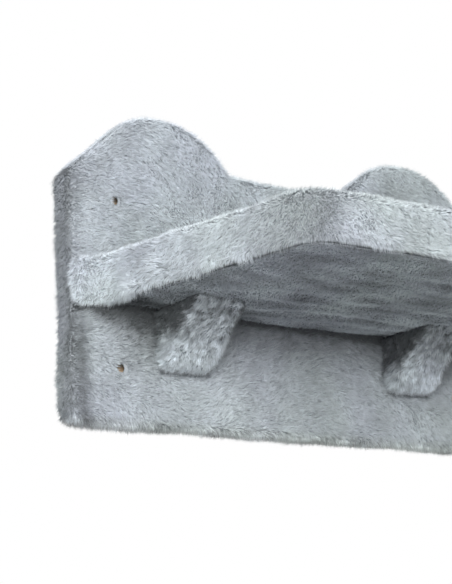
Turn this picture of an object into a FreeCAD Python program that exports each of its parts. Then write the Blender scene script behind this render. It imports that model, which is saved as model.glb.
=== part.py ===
import FreeCAD, Part
import Sketcher
import math
import os

# Plush covered wall shelf for cats, in millimetres.
# X runs along the wall, Y into the wall and Z up. The wall is the plane Y = 0.
# The origin is the centre of the four wall screw holes.

SIZES = [
    ("back_width", 474, "width of the back board"),
    ("back_thick", 18, "thickness of the back board"),
    ("back_drop", 116, "bottom edge of the back board below the origin"),
    ("valley_rise", 107, "top edge between the humps above the origin"),
    ("hump_inset", 87, "hump centre to the side of the board"),
    ("hump_rise", 71, "hump centre above the origin"),
    ("hump_radius", 78, "radius of a hump"),
    ("shoulder_angle", 40, "slope of the shoulder in degrees"),
    ("corner_radius", 10, "lower corners of the back board"),
    ("shoulder_radius", 6, "shoulder corners of the back board"),
    ("valley_radius", 18, "inner corners where a hump meets the valley"),
    ("hole_inset", 37, "wall hole centre to the side of the board"),
    ("hole_spacing_high", 156, "wall holes, top to bottom"),
    ("wall_hole", 8, "diameter of a wall hole"),
    ("plush", 12, "backing and standing pile together"),
    ("plush_round", 9, "rounding of a plush edge"),
    ("hem", 3, "backing with its pile pressed flat"),
    ("hem_width", 26, "width of the stapled hem under the shelf"),
    ("hem_margin", 4, "stapled hem on the wall side past the wall holes"),
    ("shelf_drop", 13, "underside of the shelf board below the origin"),
    ("shelf_thick", 18, "thickness of the shelf board"),
    ("shelf_depth", 241, "shelf board from the back board to its front edge"),
    ("shelf_inset", 30, "side of the back board to the shelf board's rear corner"),
    ("shelf_taper", 51, "how far each side of the shelf board draws in by its front edge"),
    ("shelf_radius", 27, "front corners of the shelf board"),
    ("pad_thick", 10, "foam pad under the plush"),
    ("pad_round", 5, "rounding of the pad"),
    ("lining_thick", 6, "lining under the shelf board"),
    ("lining_sag", 8, "how far the lining hangs down in the middle"),
    ("rim_round", 5, "rounding of the lower edge of the plush rim"),
    ("tab_short", 1, "end of the plush tab short of the covered back's side"),
    ("tab_lift", 4, "tab above the underside of the plush rim"),
    ("tab_height", 40, "height of the tab"),
    ("tab_round", 13, "rounded end of the tab"),
    ("bracket_inset", 72, "bracket centre to the shelf board's rear corner"),
    ("bracket_width", 30, "width of a bracket core"),
    ("bracket_height", 50, "height of a bracket core"),
    ("bracket_reach", 83, "bracket core from the back board, at its top"),
    ("bracket_toe", 17, "bracket core from the back board, at its bottom"),
    ("bracket_round", 7, "rounding of the bracket plush"),
    ("screw_shank", 4, "diameter of a wood screw"),
    ("screw_head", 8, "diameter of its countersunk head"),
    ("screw_head_high", 3.5, "height of its head"),
    ("shelf_screw_grip", 37, "how far a shelf screw goes into the shelf board"),
    ("bracket_screw_grip", 22, "how far a back screw goes into a bracket"),
    ("top_screw_grip", 18, "how far a top screw goes into a bracket"),
    ("shelf_screw_gap", 70, "inner shelf screw to the bracket centre"),
    ("shelf_screw_inset", 22, "outer shelf screw to the shelf board's rear corner"),
    ("bracket_screw_upper", 13, "upper bracket screw below the shelf board"),
    ("bracket_screw_lower", 36, "lower bracket screw below the shelf board"),
    ("top_screw_cover", 5.24, "far top screw to the bracket's slope, level with the screw's tip"),
    ("top_screw_apart", 20, "one top screw to the other"),
    ("staple_crown", 10, "width of a staple"),
    ("staple_wire", 1.2, "thickness of a staple"),
    ("staple_leg", 8, "length of a staple leg"),
    ("staple_pitch", 56, "greatest distance between staples"),
    ("staple_inset", 12, "staple line to the edge of its board"),
]

FRONT = "(Size.hem + Size.back_thick)"
FACE = "(Size.hem + Size.back_thick + Size.plush)"
HUMP_OFFSET = "(Size.back_width / 2 - Size.hump_inset)"
HOLE_OFFSET = "(Size.back_width / 2 - Size.hole_inset)"
BACK_HEM = "(Size.hole_inset + Size.wall_hole / 2 + Size.hem_margin)"
SHELF_BACK_HALF = "(Size.back_width / 2 - Size.shelf_inset)"
SHELF_FRONT_HALF = "(" + SHELF_BACK_HALF + " - Size.shelf_taper)"
BRACKET_OFFSET = "(" + SHELF_BACK_HALF + " - Size.bracket_inset)"
SIDE_SLOPE = "(Size.shelf_taper / Size.shelf_depth)"
SIDE_GROW = "sqrt(1 + " + SIDE_SLOPE + "^2)"
BRACKET_SLOPE = "((Size.bracket_reach - Size.bracket_toe) / Size.bracket_height)"
BRACKET_GROW = "sqrt(1 + " + BRACKET_SLOPE + "^2)"
SHELF_TOP = "(Size.shelf_thick - Size.shelf_drop)"
RIM_BOTTOM = "(Size.shelf_drop + Size.lining_thick)"
TILT = "Size.shoulder_angle * 1deg"
QUARTER_TURN = 90
INTO_ROOM = 90
DOWNWARD = 180

doc = FreeCAD.newDocument("CatWallShelf")
sheet = doc.addObject("Spreadsheet::Sheet", "Size")
for row, (alias, value, note) in enumerate(SIZES, 1):
    sheet.set("A%d" % row, alias)
    sheet.set("B%d" % row, str(value))
    sheet.set("C%d" % row, note)
    sheet.setAlias("B%d" % row, alias)
doc.recompute()

nodes = []


def number(formula):
    """Value of a sheet formula, as a plain number."""
    value = sheet.evalExpression(formula)
    return float(getattr(value, "Value", value))


def label(piece, name):
    """Name a finished sub-part and put it on the list of nodes."""
    piece.Label = name
    nodes.append(piece)
    return piece


def new_body(name):
    """An empty body for one piece or one cutting shape."""
    body = doc.addObject("PartDesign::Body", name)
    body.Placement = FreeCAD.Placement()
    return body


def new_sketch(body, plane_role, offset="0"):
    """A sketch on one of the body's own origin planes, moved off it by a formula."""
    plane = [item for item in body.Origin.OriginFeatures if item.Role == plane_role][0]
    sketch = body.newObject("Sketcher::SketchObject", body.Name + "Sketch")
    sketch.AttachmentSupport = [(plane, "")]
    sketch.MapMode = "FlatFace"
    if offset != "0":
        sketch.setExpression("AttachmentOffset.Base.z", offset)
    return sketch


def pin_point(sketch, geometry, corner, across, up):
    """Fix one point of a sketch at two formulas."""
    for kind, axis, formula in (("DistanceX", -2, across), ("DistanceY", -1, up)):
        value = number(formula)
        if value == 0:
            sketch.addConstraint(Sketcher.Constraint("PointOnObject", geometry, corner, axis))
            continue
        index = sketch.addConstraint(Sketcher.Constraint(kind, -1, 1, geometry, corner, value))
        sketch.setExpression("Constraints[%d]" % index, formula)


def draw_polygon(sketch, corners):
    """A closed outline of straight lines through corners given as pairs of formulas."""
    points = [FreeCAD.Vector(number(across), number(up), 0) for across, up in corners]
    count = len(points)
    for index in range(count):
        sketch.addGeometry(Part.LineSegment(points[index], points[(index + 1) % count]), False)
    for index in range(count):
        sketch.addConstraint(Sketcher.Constraint("Coincident", index, 2, (index + 1) % count, 1))
    for index, (across, up) in enumerate(corners):
        pin_point(sketch, index, 1, across, up)


def draw_circles(sketch, centres, radius):
    """Circles of one radius, with centres given as pairs of formulas."""
    up_axis = FreeCAD.Vector(0, 0, 1)
    for across, up in centres:
        centre = FreeCAD.Vector(number(across), number(up), 0)
        index = sketch.addGeometry(Part.Circle(centre, up_axis, number(radius)), False)
        pin_point(sketch, index, 3, across, up)
        size = sketch.addConstraint(Sketcher.Constraint("Radius", index, number(radius)))
        sketch.setExpression("Constraints[%d]" % size, radius)


def draw_bow(sketch, half_width, centre, level, sag):
    """A flat arc hanging by sag below a chord at level, closed by its chord."""
    half = number(half_width)
    middle = number(centre)
    high = number(level)
    low = high - number(sag)
    left = FreeCAD.Vector(middle - half, high, 0)
    right = FreeCAD.Vector(middle + half, high, 0)
    bottom = FreeCAD.Vector(middle, low, 0)
    arc = sketch.addGeometry(Part.Arc(left, bottom, right), False)
    chord = sketch.addGeometry(Part.LineSegment(left, right), False)
    sketch.addConstraint(Sketcher.Constraint("Coincident", arc, 1, chord, 1))
    sketch.addConstraint(Sketcher.Constraint("Coincident", arc, 2, chord, 2))
    pin_point(sketch, chord, 1, centre + " - " + half_width, level)
    pin_point(sketch, chord, 2, centre + " + " + half_width, level)
    bow_radius = "((" + half_width + ")^2 + (" + sag + ")^2) / 2 / (" + sag + ")"
    size = sketch.addConstraint(Sketcher.Constraint("Radius", arc, number(bow_radius)))
    sketch.setExpression("Constraints[%d]" % size, bow_radius)


def pad(body, sketch, length, both_ways=False):
    """Pad a sketch along its normal by a formula."""
    feature = body.newObject("PartDesign::Pad", body.Name + "Pad")
    feature.Profile = sketch
    feature.setExpression("Length", length)
    feature.Midplane = both_ways
    doc.recompute()
    return feature


def round_edges(body, radius, wanted):
    """Round the edges of the body's last feature for which wanted is true."""
    last = body.Tip
    names = ["Edge%d" % place for place, edge in enumerate(last.Shape.Edges, 1) if wanted(edge)]
    feature = body.newObject("PartDesign::Fillet", body.Name + "Round")
    feature.Base = (last, names)
    feature.setExpression("Radius", radius)
    doc.recompute()
    return feature


def near(one, other):
    """True where two lengths are the same to a thousandth."""
    return math.isclose(one, other, abs_tol=1e-3)


def ends(edge):
    """First and last point of an edge."""
    return edge.Vertexes[0].Point, edge.Vertexes[-1].Point


def is_along(edge, axis):
    """True for a straight edge parallel to an axis, 0 for X, 1 for Y and 2 for Z."""
    first, last = ends(edge)
    others = [place for place in range(3) if place != axis]
    moved = not near(first[axis], last[axis])
    return moved and all(near(first[place], last[place]) for place in others)


def lies_at(edge, axis, level):
    """True for an edge that stays at one level of an axis."""
    box = edge.BoundBox
    low = (box.XMin, box.YMin, box.ZMin)[axis]
    high = (box.XMax, box.YMax, box.ZMax)[axis]
    return near(low, level) and near(high, level)


def cut(name, base, tool):
    """One piece less another."""
    result = doc.addObject("Part::Cut", name)
    result.Base = base
    result.Tool = tool
    doc.recompute()
    return result


def join(name, pieces):
    """Several shapes as one solid."""
    result = doc.addObject("Part::MultiFuse", name)
    result.Shapes = pieces
    result.Refine = True
    doc.recompute()
    return result


def group(name, pieces):
    """Several alike pieces as one node of separate solids."""
    result = doc.addObject("Part::Compound", name)
    result.Links = pieces
    doc.recompute()
    return result


def panel_shape(name, grow, start, depth, convex, concave):
    """The outline of the back with its two humps, grown by a formula and padded off the wall."""
    body = new_body(name)
    half = "(Size.back_width / 2 + " + grow + ")"
    radius = "(Size.hump_radius + " + grow + ")"
    touch_x = "(" + HUMP_OFFSET + " + " + radius + " * sin(" + TILT + "))"
    touch_z = "(Size.hump_rise + " + radius + " * cos(" + TILT + "))"
    shoulder = touch_z + " - (" + half + " - " + touch_x + ") * tan(" + TILT + ")"
    valley = "Size.valley_rise + " + grow
    bottom = "-(Size.back_drop + " + grow + ")"
    lower = new_sketch(body, "XZ_Plane", start)
    draw_polygon(lower, [
        ("-" + half, bottom),
        (half, bottom),
        (half, shoulder),
        (touch_x, touch_z),
        (HUMP_OFFSET, valley),
        ("-" + HUMP_OFFSET, valley),
        ("-" + touch_x, touch_z),
        ("-" + half, shoulder),
    ])
    pad(body, lower, depth)
    humps = new_sketch(body, "XZ_Plane", start)
    centres = [("-" + HUMP_OFFSET, "Size.hump_rise"), (HUMP_OFFSET, "Size.hump_rise")]
    draw_circles(humps, centres, radius)
    pad(body, humps, depth)
    side = number(half)
    floor_level = number(bottom)
    inner = number(HUMP_OFFSET)
    crest = number(valley)

    def lower_corner(edge):
        place = ends(edge)[0]
        return is_along(edge, 1) and near(abs(place.x), side) and near(place.z, floor_level)

    def shoulder_corner(edge):
        place = ends(edge)[0]
        return is_along(edge, 1) and near(abs(place.x), side) and not near(place.z, floor_level)

    def valley_corner(edge):
        place = ends(edge)[0]
        return is_along(edge, 1) and abs(place.x) < inner and near(place.z, crest)

    round_edges(body, convex[1], shoulder_corner)
    round_edges(body, convex[0], lower_corner)
    round_edges(body, concave, valley_corner)
    return body


def shelf_shape(name, plane_level, height, grow, back_grow, corner):
    """The plan of the shelf, grown by a formula and padded up from a level."""
    body = new_body(name)
    plan = new_sketch(body, "XY_Plane", plane_level)
    back = "(" + FRONT + " + " + back_grow + ")"
    front = "(" + FRONT + " + Size.shelf_depth + " + grow + ")"
    swell = "(" + grow + ") * " + SIDE_GROW
    back_taper = "(" + back_grow + ") * " + SIDE_SLOPE
    front_taper = "(" + grow + ") * " + SIDE_SLOPE
    back_half = "(" + SHELF_BACK_HALF + " - " + back_taper + " + " + swell + ")"
    front_half = "(" + SHELF_FRONT_HALF + " - " + front_taper + " + " + swell + ")"
    draw_polygon(plan, [
        ("-" + back_half, "-" + back),
        ("-" + front_half, "-" + front),
        (front_half, "-" + front),
        (back_half, "-" + back),
    ])
    pad(body, plan, height)
    level = -number(front)
    round_edges(body, corner, lambda edge: is_along(edge, 2) and near(ends(edge)[0].y, level))
    return body


def rod(name, kind, place, turn, sizes):
    """A cylinder or cone placed by three formulas, turned about X and sized by formulas."""
    piece = doc.addObject(kind, name)
    rotation = FreeCAD.Rotation(FreeCAD.Vector(1, 0, 0), turn)
    piece.Placement = FreeCAD.Placement(FreeCAD.Vector(), rotation)
    for axis, formula in zip("xyz", place):
        piece.setExpression("Placement.Base." + axis, formula)
    for size, formula in sizes.items():
        piece.setExpression(size, formula)
    return piece


def wall_hole_pins():
    """Four pins the size of the wall holes, through everything."""
    up = "Size.hole_spacing_high / 2"
    sizes = {"Radius": "Size.wall_hole / 2", "Height": FACE}
    places = [(side + HOLE_OFFSET, "0", rise + up) for side in ("-", "") for rise in ("-", "")]
    pins = [rod("WallHole", "Part::Cylinder", place, INTO_ROOM, sizes) for place in places]
    return group("WallHoles", pins)


def wood_screw(place, turn, length):
    """A countersunk screw with its head flush at a place."""
    wide = "Size.screw_head / 2"
    slim = "Size.screw_shank / 2"
    shank = rod("Shank", "Part::Cylinder", place, turn, {"Radius": slim, "Height": length})
    cone = {"Radius1": wide, "Radius2": slim, "Height": "Size.screw_head_high"}
    head = rod("Head", "Part::Cone", place, turn, cone)
    return join("Screw", [shank, head])


def make_shelf_screws():
    """Four screws through the back board into the rear edge of the shelf board."""
    level = "Size.shelf_thick / 2 - Size.shelf_drop"
    outer = "(" + SHELF_BACK_HALF + " - Size.shelf_screw_inset)"
    inner = "(" + BRACKET_OFFSET + " - Size.shelf_screw_gap)"
    long = "Size.back_thick + Size.shelf_screw_grip"
    places = [(side + distance, "-Size.hem", level) for side in ("-", "") for distance in (outer, inner)]
    screws = [wood_screw(place, INTO_ROOM, long) for place in places]
    return label(group("ShelfScrews", screws), "shelf_screws")


def make_bracket_back_screws():
    """Two screws through the back board into each bracket core."""
    screws = []
    long = "Size.back_thick + Size.bracket_screw_grip"
    for side in ("-", ""):
        for below in ("Size.bracket_screw_upper", "Size.bracket_screw_lower"):
            place = (side + BRACKET_OFFSET, "-Size.hem", "-(Size.shelf_drop + " + below + ")")
            screws.append(wood_screw(place, INTO_ROOM, long))
    return label(group("BracketBackScrews", screws), "bracket_back_screws")


def make_bracket_top_screws():
    """Two screws down through the shelf board into each bracket core."""
    screws = []
    long = "Size.shelf_thick + Size.top_screw_grip"
    slope_out = "Size.bracket_reach - " + BRACKET_SLOPE + " * Size.top_screw_grip"
    far = "(" + slope_out + " - Size.top_screw_cover)"
    near_one = "(" + far + " - Size.top_screw_apart)"
    for side in ("-", ""):
        for out in (near_one, far):
            place = (side + BRACKET_OFFSET, "-(" + FRONT + " + " + out + ")", SHELF_TOP)
            screws.append(wood_screw(place, DOWNWARD, long))
    return label(group("BracketTopScrews", screws), "bracket_top_screws")


def staple_shape():
    """One staple: its crown along X at the origin, its legs along Z."""
    crown = number("Size.staple_crown")
    wire = number("Size.staple_wire")
    leg = number("Size.staple_leg")
    top = Part.makeBox(crown, wire, wire, FreeCAD.Vector(-crown / 2, -wire / 2, 0))
    left = Part.makeBox(wire, wire, leg, FreeCAD.Vector(-crown / 2, -wire / 2, 0))
    right = Part.makeBox(wire, wire, leg, FreeCAD.Vector(crown / 2 - wire, -wire / 2, 0))
    return top.fuse([left, right]).removeSplitter()


def staple_row(first, last):
    """Staple places between two points, evenly spread, with the direction of the row."""
    pitch = number("Size.staple_pitch")
    run = last - first
    count = max(2, math.ceil(run.Length / pitch))
    direction = FreeCAD.Vector(run).normalize()
    return [(first + run * ((step + 0.5) / count), direction) for step in range(count)]


def staple_arc(centre, radius, start, finish):
    """Staple places along an arc in the plane of the wall, between two angles in degrees."""
    pitch = number("Size.staple_pitch")
    sweep = math.radians(finish - start)
    count = max(2, math.ceil(abs(sweep) * radius / pitch))
    places = []
    for step in range(count):
        angle = math.radians(start) + sweep * (step + 0.5) / count
        out = FreeCAD.Vector(math.cos(angle), 0, math.sin(angle))
        along = FreeCAD.Vector(-math.sin(angle), 0, math.cos(angle))
        places.append((centre + out * radius, along))
    return places


def staple_group(name, places, depth):
    """Staples at places, driven in the direction depth."""
    one = staple_shape()
    driven = []
    for place, along in places:
        turned = FreeCAD.Rotation(along, depth.cross(along), depth, "ZXY")
        copy = one.copy()
        copy.Placement = FreeCAD.Placement(place, turned)
        driven.append(copy)
    piece = doc.addObject("Part::Feature", name)
    piece.Shape = Part.makeCompound(driven)
    return piece


def make_back_hem_staples():
    """Staples through the hem on the wall side of the back board."""
    inset = number("Size.staple_inset")
    half = number("Size.back_width / 2") - inset
    low = inset - number("Size.back_drop")
    crest = number("Size.valley_rise") - inset
    offset = number(HUMP_OFFSET)
    rise = number("Size.hump_rise")
    radius = number("Size.hump_radius") - inset
    slope = number("Size.shoulder_angle")
    inner = offset - radius
    places = staple_row(FreeCAD.Vector(-half, 0, low), FreeCAD.Vector(half, 0, low))
    places += staple_row(FreeCAD.Vector(-inner, 0, crest), FreeCAD.Vector(inner, 0, crest))
    for side in (-1, 1):
        top = FreeCAD.Vector(side * half, 0, rise)
        places += staple_row(FreeCAD.Vector(side * half, 0, low + inset), top)
        centre = FreeCAD.Vector(side * offset, 0, rise)
        places += staple_arc(centre, radius, slope, QUARTER_TURN * 2 - slope)
    return label(staple_group("BackHemStaples", places, FreeCAD.Vector(0, -1, 0)), "back_hem_staples")


def make_shelf_hem_staples():
    """Staples through the hem under the shelf board."""
    inset = number("Size.staple_inset")
    level = -number("Size.shelf_drop + Size.hem")
    back = -number(FACE) - inset
    front = inset - number(FRONT + " + Size.shelf_depth")
    back_half = number(SHELF_BACK_HALF + " - Size.plush * " + SIDE_SLOPE) - inset
    front_half = number(SHELF_FRONT_HALF) - inset
    corner = number("Size.shelf_radius")
    left = FreeCAD.Vector(corner - front_half, front, level)
    right = FreeCAD.Vector(front_half - corner, front, level)
    places = staple_row(left, right)
    for side in (-1, 1):
        near_end = FreeCAD.Vector(side * back_half, back, level)
        far_end = FreeCAD.Vector(side * front_half, front + corner, level)
        places += staple_row(near_end, far_end)
    return label(staple_group("ShelfHemStaples", places, FreeCAD.Vector(0, 0, 1)), "shelf_hem_staples")


def bracket_wedge(name, side, grow, back, top_drop):
    """A wedge under the shelf, grown by a formula, from a back plane and a level below the shelf board."""
    body = new_body(name)
    wide = "(Size.bracket_width + 2 * " + grow + ")"
    sketch = new_sketch(body, "YZ_Plane", side + BRACKET_OFFSET + " - " + wide + " / 2")
    face = "(" + FRONT + " + Size.bracket_reach + " + grow + " * " + BRACKET_GROW + ")"
    low_drop = "(Size.bracket_height + " + grow + ")"
    top = "-(Size.shelf_drop + " + top_drop + ")"
    low = "-(Size.shelf_drop + " + low_drop + ")"
    draw_polygon(sketch, [
        ("-" + back, top),
        ("-(" + face + " - " + top_drop + " * " + BRACKET_SLOPE + ")", top),
        ("-(" + face + " - " + low_drop + " * " + BRACKET_SLOPE + ")", low),
        ("-" + back, low),
    ])
    pad(body, sketch, wide)
    return body


def make_bracket_plush(hand, side, core, lining):
    """The plush glued round a bracket core, open at the back and at the top."""
    outer = bracket_wedge("BracketPlush" + hand, side, "Size.plush", FACE, "Size.lining_thick")
    low = -number("Size.shelf_drop + Size.bracket_height + Size.plush")
    back = -number(FACE)

    def free_edge(edge):
        if lies_at(edge, 1, back):
            return False
        sloped = not any(is_along(edge, axis) for axis in range(3))
        return sloped or lies_at(edge, 2, low)

    round_edges(outer, "Size.bracket_round", free_edge)
    hollow = cut("BracketPlushHollow" + hand, outer, core)
    return label(cut("BracketPlushFitted" + hand, hollow, lining), "bracket_plush_" + hand.lower())


def make_lining_forms():
    """The two layers of the lining inside the rim and inside the hem."""
    lower_high = "Size.lining_thick - Size.hem"
    level = "-" + RIM_BOTTOM
    lower = shelf_shape("LiningLower", level, lower_high, "0", "Size.plush", "Size.shelf_radius")
    upper_level = "-(Size.shelf_drop + Size.hem)"
    inner_corner = "Size.shelf_radius / 2"
    upper = shelf_shape("LiningUpper", upper_level, "Size.hem", "-Size.hem_width", "Size.plush", inner_corner)
    return lower, upper


def make_lining_sag():
    """The hanging middle of the lining: what two crossed bows have in common."""
    level = "-" + RIM_BOTTOM
    half_deep = "((Size.shelf_depth - Size.plush - Size.hem_width) / 2)"
    half_wide = "(" + SHELF_FRONT_HALF + " - Size.hem_width)"
    across = new_body("SagAcross")
    sketch = new_sketch(across, "YZ_Plane")
    draw_bow(sketch, half_deep, "-(" + FACE + " + " + half_deep + ")", level, "Size.lining_sag")
    pad(across, sketch, "2 * " + half_wide, True)
    along = new_body("SagAlong")
    sketch = new_sketch(along, "XZ_Plane", FACE)
    draw_bow(sketch, half_wide, "0", level, "Size.lining_sag")
    pad(along, sketch, "2 * " + half_deep)
    common = doc.addObject("Part::Common", "LiningSag")
    common.Base = across
    common.Tool = along
    doc.recompute()
    return common


def make_tab(side):
    """A plush tab that carries the rim on along the back to its edge."""
    body = new_body("Tab" + ("Left" if side == "-" else "Right"))
    sketch = new_sketch(body, "XZ_Plane", FACE)
    inner = "(" + SHELF_BACK_HALF + " - Size.plush)"
    outer = "(Size.back_width / 2 + Size.plush - Size.tab_short)"
    low = "(Size.tab_lift - " + RIM_BOTTOM + ")"
    high = "(" + low + " + Size.tab_height)"
    if side == "-":
        corners = [("-" + outer, low), ("-" + inner, low), ("-" + inner, high), ("-" + outer, high)]
    else:
        corners = [(inner, low), (outer, low), (outer, high), (inner, high)]
    draw_polygon(sketch, corners)
    pad(body, sketch, "Size.plush")
    end = number(outer)
    face = -number(FACE + " + Size.plush")
    round_edges(body, "Size.tab_round", lambda edge: is_along(edge, 1) and near(abs(ends(edge)[0].x), end))
    inner_end = number(inner)

    def front_rim(edge):
        box = edge.BoundBox
        kept = near(min(abs(box.XMin), abs(box.XMax)), inner_end) and near(box.XMin, box.XMax)
        return lies_at(edge, 1, face) and not kept

    round_edges(body, "Size.rim_round", front_rim)
    return body


def make_shelf_cover(board, foam, lining_forms):
    """The plush over the shelf: top, rim, hem and two tabs along the back."""
    level = "-" + RIM_BOTTOM
    high = "Size.lining_thick + Size.shelf_thick + Size.pad_thick + Size.plush"
    corner = "Size.shelf_radius + Size.plush"
    outer = shelf_shape("ShelfCoverOuter", level, high, "Size.plush", "Size.plush", corner)
    back = -number(FACE)
    low = number(level)
    top = low + number(high)
    round_edges(outer, "Size.plush_round", lambda edge: lies_at(edge, 2, top) and not lies_at(edge, 1, back))
    round_edges(outer, "Size.rim_round", lambda edge: lies_at(edge, 2, low) and not lies_at(edge, 1, back))
    whole = join("ShelfCoverWhole", [outer, make_tab("-"), make_tab("")])
    hollow = cut("ShelfCoverHollow", whole, board)
    hollow = cut("ShelfCoverPadSpace", hollow, foam)
    for place, form in enumerate(lining_forms):
        hollow = cut("ShelfCoverMouth%d" % place, hollow, form)
    return hollow


corner_rounds = ("Size.corner_radius", "Size.shoulder_radius")
cover_rounds = ("Size.corner_radius + Size.plush", "Size.shoulder_radius + Size.plush")
valley_round = "Size.valley_radius"
cover_valley_round = "Size.valley_radius - Size.plush"
board_blank = panel_shape("BackBoardBlank", "0", "Size.hem", "Size.back_thick", corner_rounds, valley_round)
cover_blank = panel_shape("BackCoverBlank", "Size.plush", "0", FACE, cover_rounds, cover_valley_round)
cover_face = -number(FACE)
round_edges(cover_blank, "Size.plush_round", lambda edge: lies_at(edge, 1, cover_face))
hem_opening = panel_shape("BackHemOpening", "-" + BACK_HEM, "0", "Size.hem", corner_rounds, valley_round)

shelf_corner = "Size.shelf_radius"
shelf_blank = shelf_shape("ShelfBoardBlank", "-Size.shelf_drop", "Size.shelf_thick", "0", "0", shelf_corner)
foam_pad = shelf_shape("ShelfPad", SHELF_TOP, "Size.pad_thick", "0", "Size.plush", shelf_corner)
foam_top = number(SHELF_TOP + " + Size.pad_thick")


def foam_rim(edge):
    """True for the upper edges of the pad that don't touch the back."""
    return lies_at(edge, 2, foam_top) and not lies_at(edge, 1, cover_face)


round_edges(foam_pad, "Size.pad_round", foam_rim)
label(foam_pad, "shelf_pad")

cores = {}
for hand, side in (("Left", "-"), ("Right", "")):
    cores[hand] = bracket_wedge("BracketCore" + hand, side, "0", FRONT, "0")

holes = wall_hole_pins()
shelf_screws = make_shelf_screws()
bracket_back_screws = make_bracket_back_screws()
bracket_top_screws = make_bracket_top_screws()
back_staples = make_back_hem_staples()
shelf_staples = make_shelf_hem_staples()

board = cut("BackBoardHoles", board_blank, holes)
board = cut("BackBoardShelfScrews", board, shelf_screws)
board = cut("BackBoardBracketScrews", board, bracket_back_screws)
board = cut("BackBoardStaples", board, back_staples)
label(board, "back_board")

cover = cut("BackCoverHollow", cover_blank, board_blank)
cover = cut("BackCoverOpening", cover, hem_opening)
cover = cut("BackCoverHoles", cover, holes)
cover = cut("BackCoverShelfSeat", cover, shelf_blank)
for hand, core in cores.items():
    cover = cut("BackCoverSeat" + hand, cover, core)
cover = cut("BackCoverStaples", cover, back_staples)
label(cover, "back_plush_cover")

shelf = cut("ShelfBoardBackScrews", shelf_blank, shelf_screws)
shelf = cut("ShelfBoardTopScrews", shelf, bracket_top_screws)
shelf = cut("ShelfBoardStaples", shelf, shelf_staples)
label(shelf, "shelf_board")

lining_layers = make_lining_forms()
shelf_cover = make_shelf_cover(shelf_blank, foam_pad, lining_layers)
shelf_cover = cut("ShelfCoverStaples", shelf_cover, shelf_staples)
label(shelf_cover, "shelf_plush_cover")

lining = join("Lining", list(lining_layers) + [make_lining_sag()])
for hand, core in cores.items():
    lining = cut("LiningSeat" + hand, lining, core)
label(lining, "shelf_underside_lining")

for hand, side in (("Left", "-"), ("Right", "")):
    make_bracket_plush(hand, side, cores[hand], lining)
    core = cut("BracketCoreBackScrews" + hand, cores[hand], bracket_back_screws)
    core = cut("BracketCoreTopScrews" + hand, core, bracket_top_screws)
    label(core, "bracket_core_" + hand.lower())

doc.recompute()
for item in doc.Objects:
    if "Invalid" in item.State or "Error" in item.State:
        raise RuntimeError("failed object: " + item.Name)
os.makedirs("parts", exist_ok=True)
for piece in nodes:
    shape = piece.Shape
    if shape.isNull() or not shape.isValid() or not shape.Solids:
        raise RuntimeError("bad shape: " + piece.Label)
    box = shape.BoundBox
    print("%-24s solids %2d volume %10.1f x %.1f %.1f y %.1f %.1f z %.1f %.1f" % (
        piece.Label, len(shape.Solids), shape.Volume,
        box.XMin, box.XMax, box.YMin, box.YMax, box.ZMin, box.ZMax))
    shape.exportStep("parts/" + piece.Label + ".step")
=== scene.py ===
"""Looks of a plush covered wall shelf for cats.

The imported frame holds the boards, wedges, screws and staples. This script wraps them in thin
plush sheets, grows the pile on those sheets tuft by tuft, and sets the light and the camera.
X runs along the wall, Y into the wall and Z up, all in metres.
"""

import logging
import math
from dataclasses import dataclass
from enum import Enum

import bpy
import numpy as np
from mathutils import Matrix, Vector


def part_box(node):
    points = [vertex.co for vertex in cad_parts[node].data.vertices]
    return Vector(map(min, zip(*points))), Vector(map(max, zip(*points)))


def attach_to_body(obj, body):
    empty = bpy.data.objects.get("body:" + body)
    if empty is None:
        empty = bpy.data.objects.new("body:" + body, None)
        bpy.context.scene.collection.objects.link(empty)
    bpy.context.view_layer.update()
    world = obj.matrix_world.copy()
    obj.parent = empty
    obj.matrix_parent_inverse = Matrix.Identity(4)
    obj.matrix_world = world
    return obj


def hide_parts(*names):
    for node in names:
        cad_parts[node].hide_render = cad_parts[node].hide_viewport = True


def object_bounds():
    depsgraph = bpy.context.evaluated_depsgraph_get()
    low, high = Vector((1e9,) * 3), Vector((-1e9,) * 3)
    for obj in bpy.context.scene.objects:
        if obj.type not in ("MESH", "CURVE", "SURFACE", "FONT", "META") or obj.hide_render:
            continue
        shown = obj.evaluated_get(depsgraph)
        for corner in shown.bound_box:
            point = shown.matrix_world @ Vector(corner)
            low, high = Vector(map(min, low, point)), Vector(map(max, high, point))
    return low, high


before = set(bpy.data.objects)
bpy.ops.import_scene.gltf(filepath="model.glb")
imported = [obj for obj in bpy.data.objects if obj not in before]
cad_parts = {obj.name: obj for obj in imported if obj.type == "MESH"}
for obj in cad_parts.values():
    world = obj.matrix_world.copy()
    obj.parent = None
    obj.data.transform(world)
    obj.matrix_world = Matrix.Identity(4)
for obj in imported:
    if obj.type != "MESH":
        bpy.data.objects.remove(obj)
CAD_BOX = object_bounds()

LOG = logging.getLogger("wall_shelf")
BODY = "root"
MM = 0.001
SQUARE_MM = MM * MM
BAKE_MAP = "OFBake"
MOST_TUFTS = 48000
TUFT_SIDES = 3
DARKEST = 5.2
WALL_GAP = 0.3 * MM
PROUD_BELOW = 9.3 * MM
PROUD_ABOVE = 8 * MM
MAP_MARGIN = 0.06
BAND_SEEDS = 10
LOCK_TABLE = 4096
CELL_PRIMES = (73856093, 19349663, 83492791)
TUFT_SHADE = 0.4
MOTTLING = ((9 * MM, 0.24), (24 * MM, 0.18), (65 * MM, 0.15))
LENGTH_DRIFT = 0.1
LENGTH_WAVE = 30 * MM
WHITE = (1.0, 1.0, 1.0)
Colour = tuple[float, float, float]
Triple = tuple[float, float, float]
Span = tuple[float, float]


class Slot(Enum):
    """Names of the record's material slots for the soft pieces; the script does not use them."""

    PLUSH = "plush"
    LINING = "lining"
    FOAM = "foam"


class Side(Enum):
    """The two ends of the shelf, with the sign of X there."""

    LEFT = -1
    RIGHT = 1

    @property
    def label(self) -> str:
        """The side's name as the pieces use it."""
        return self.name.lower()


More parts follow.
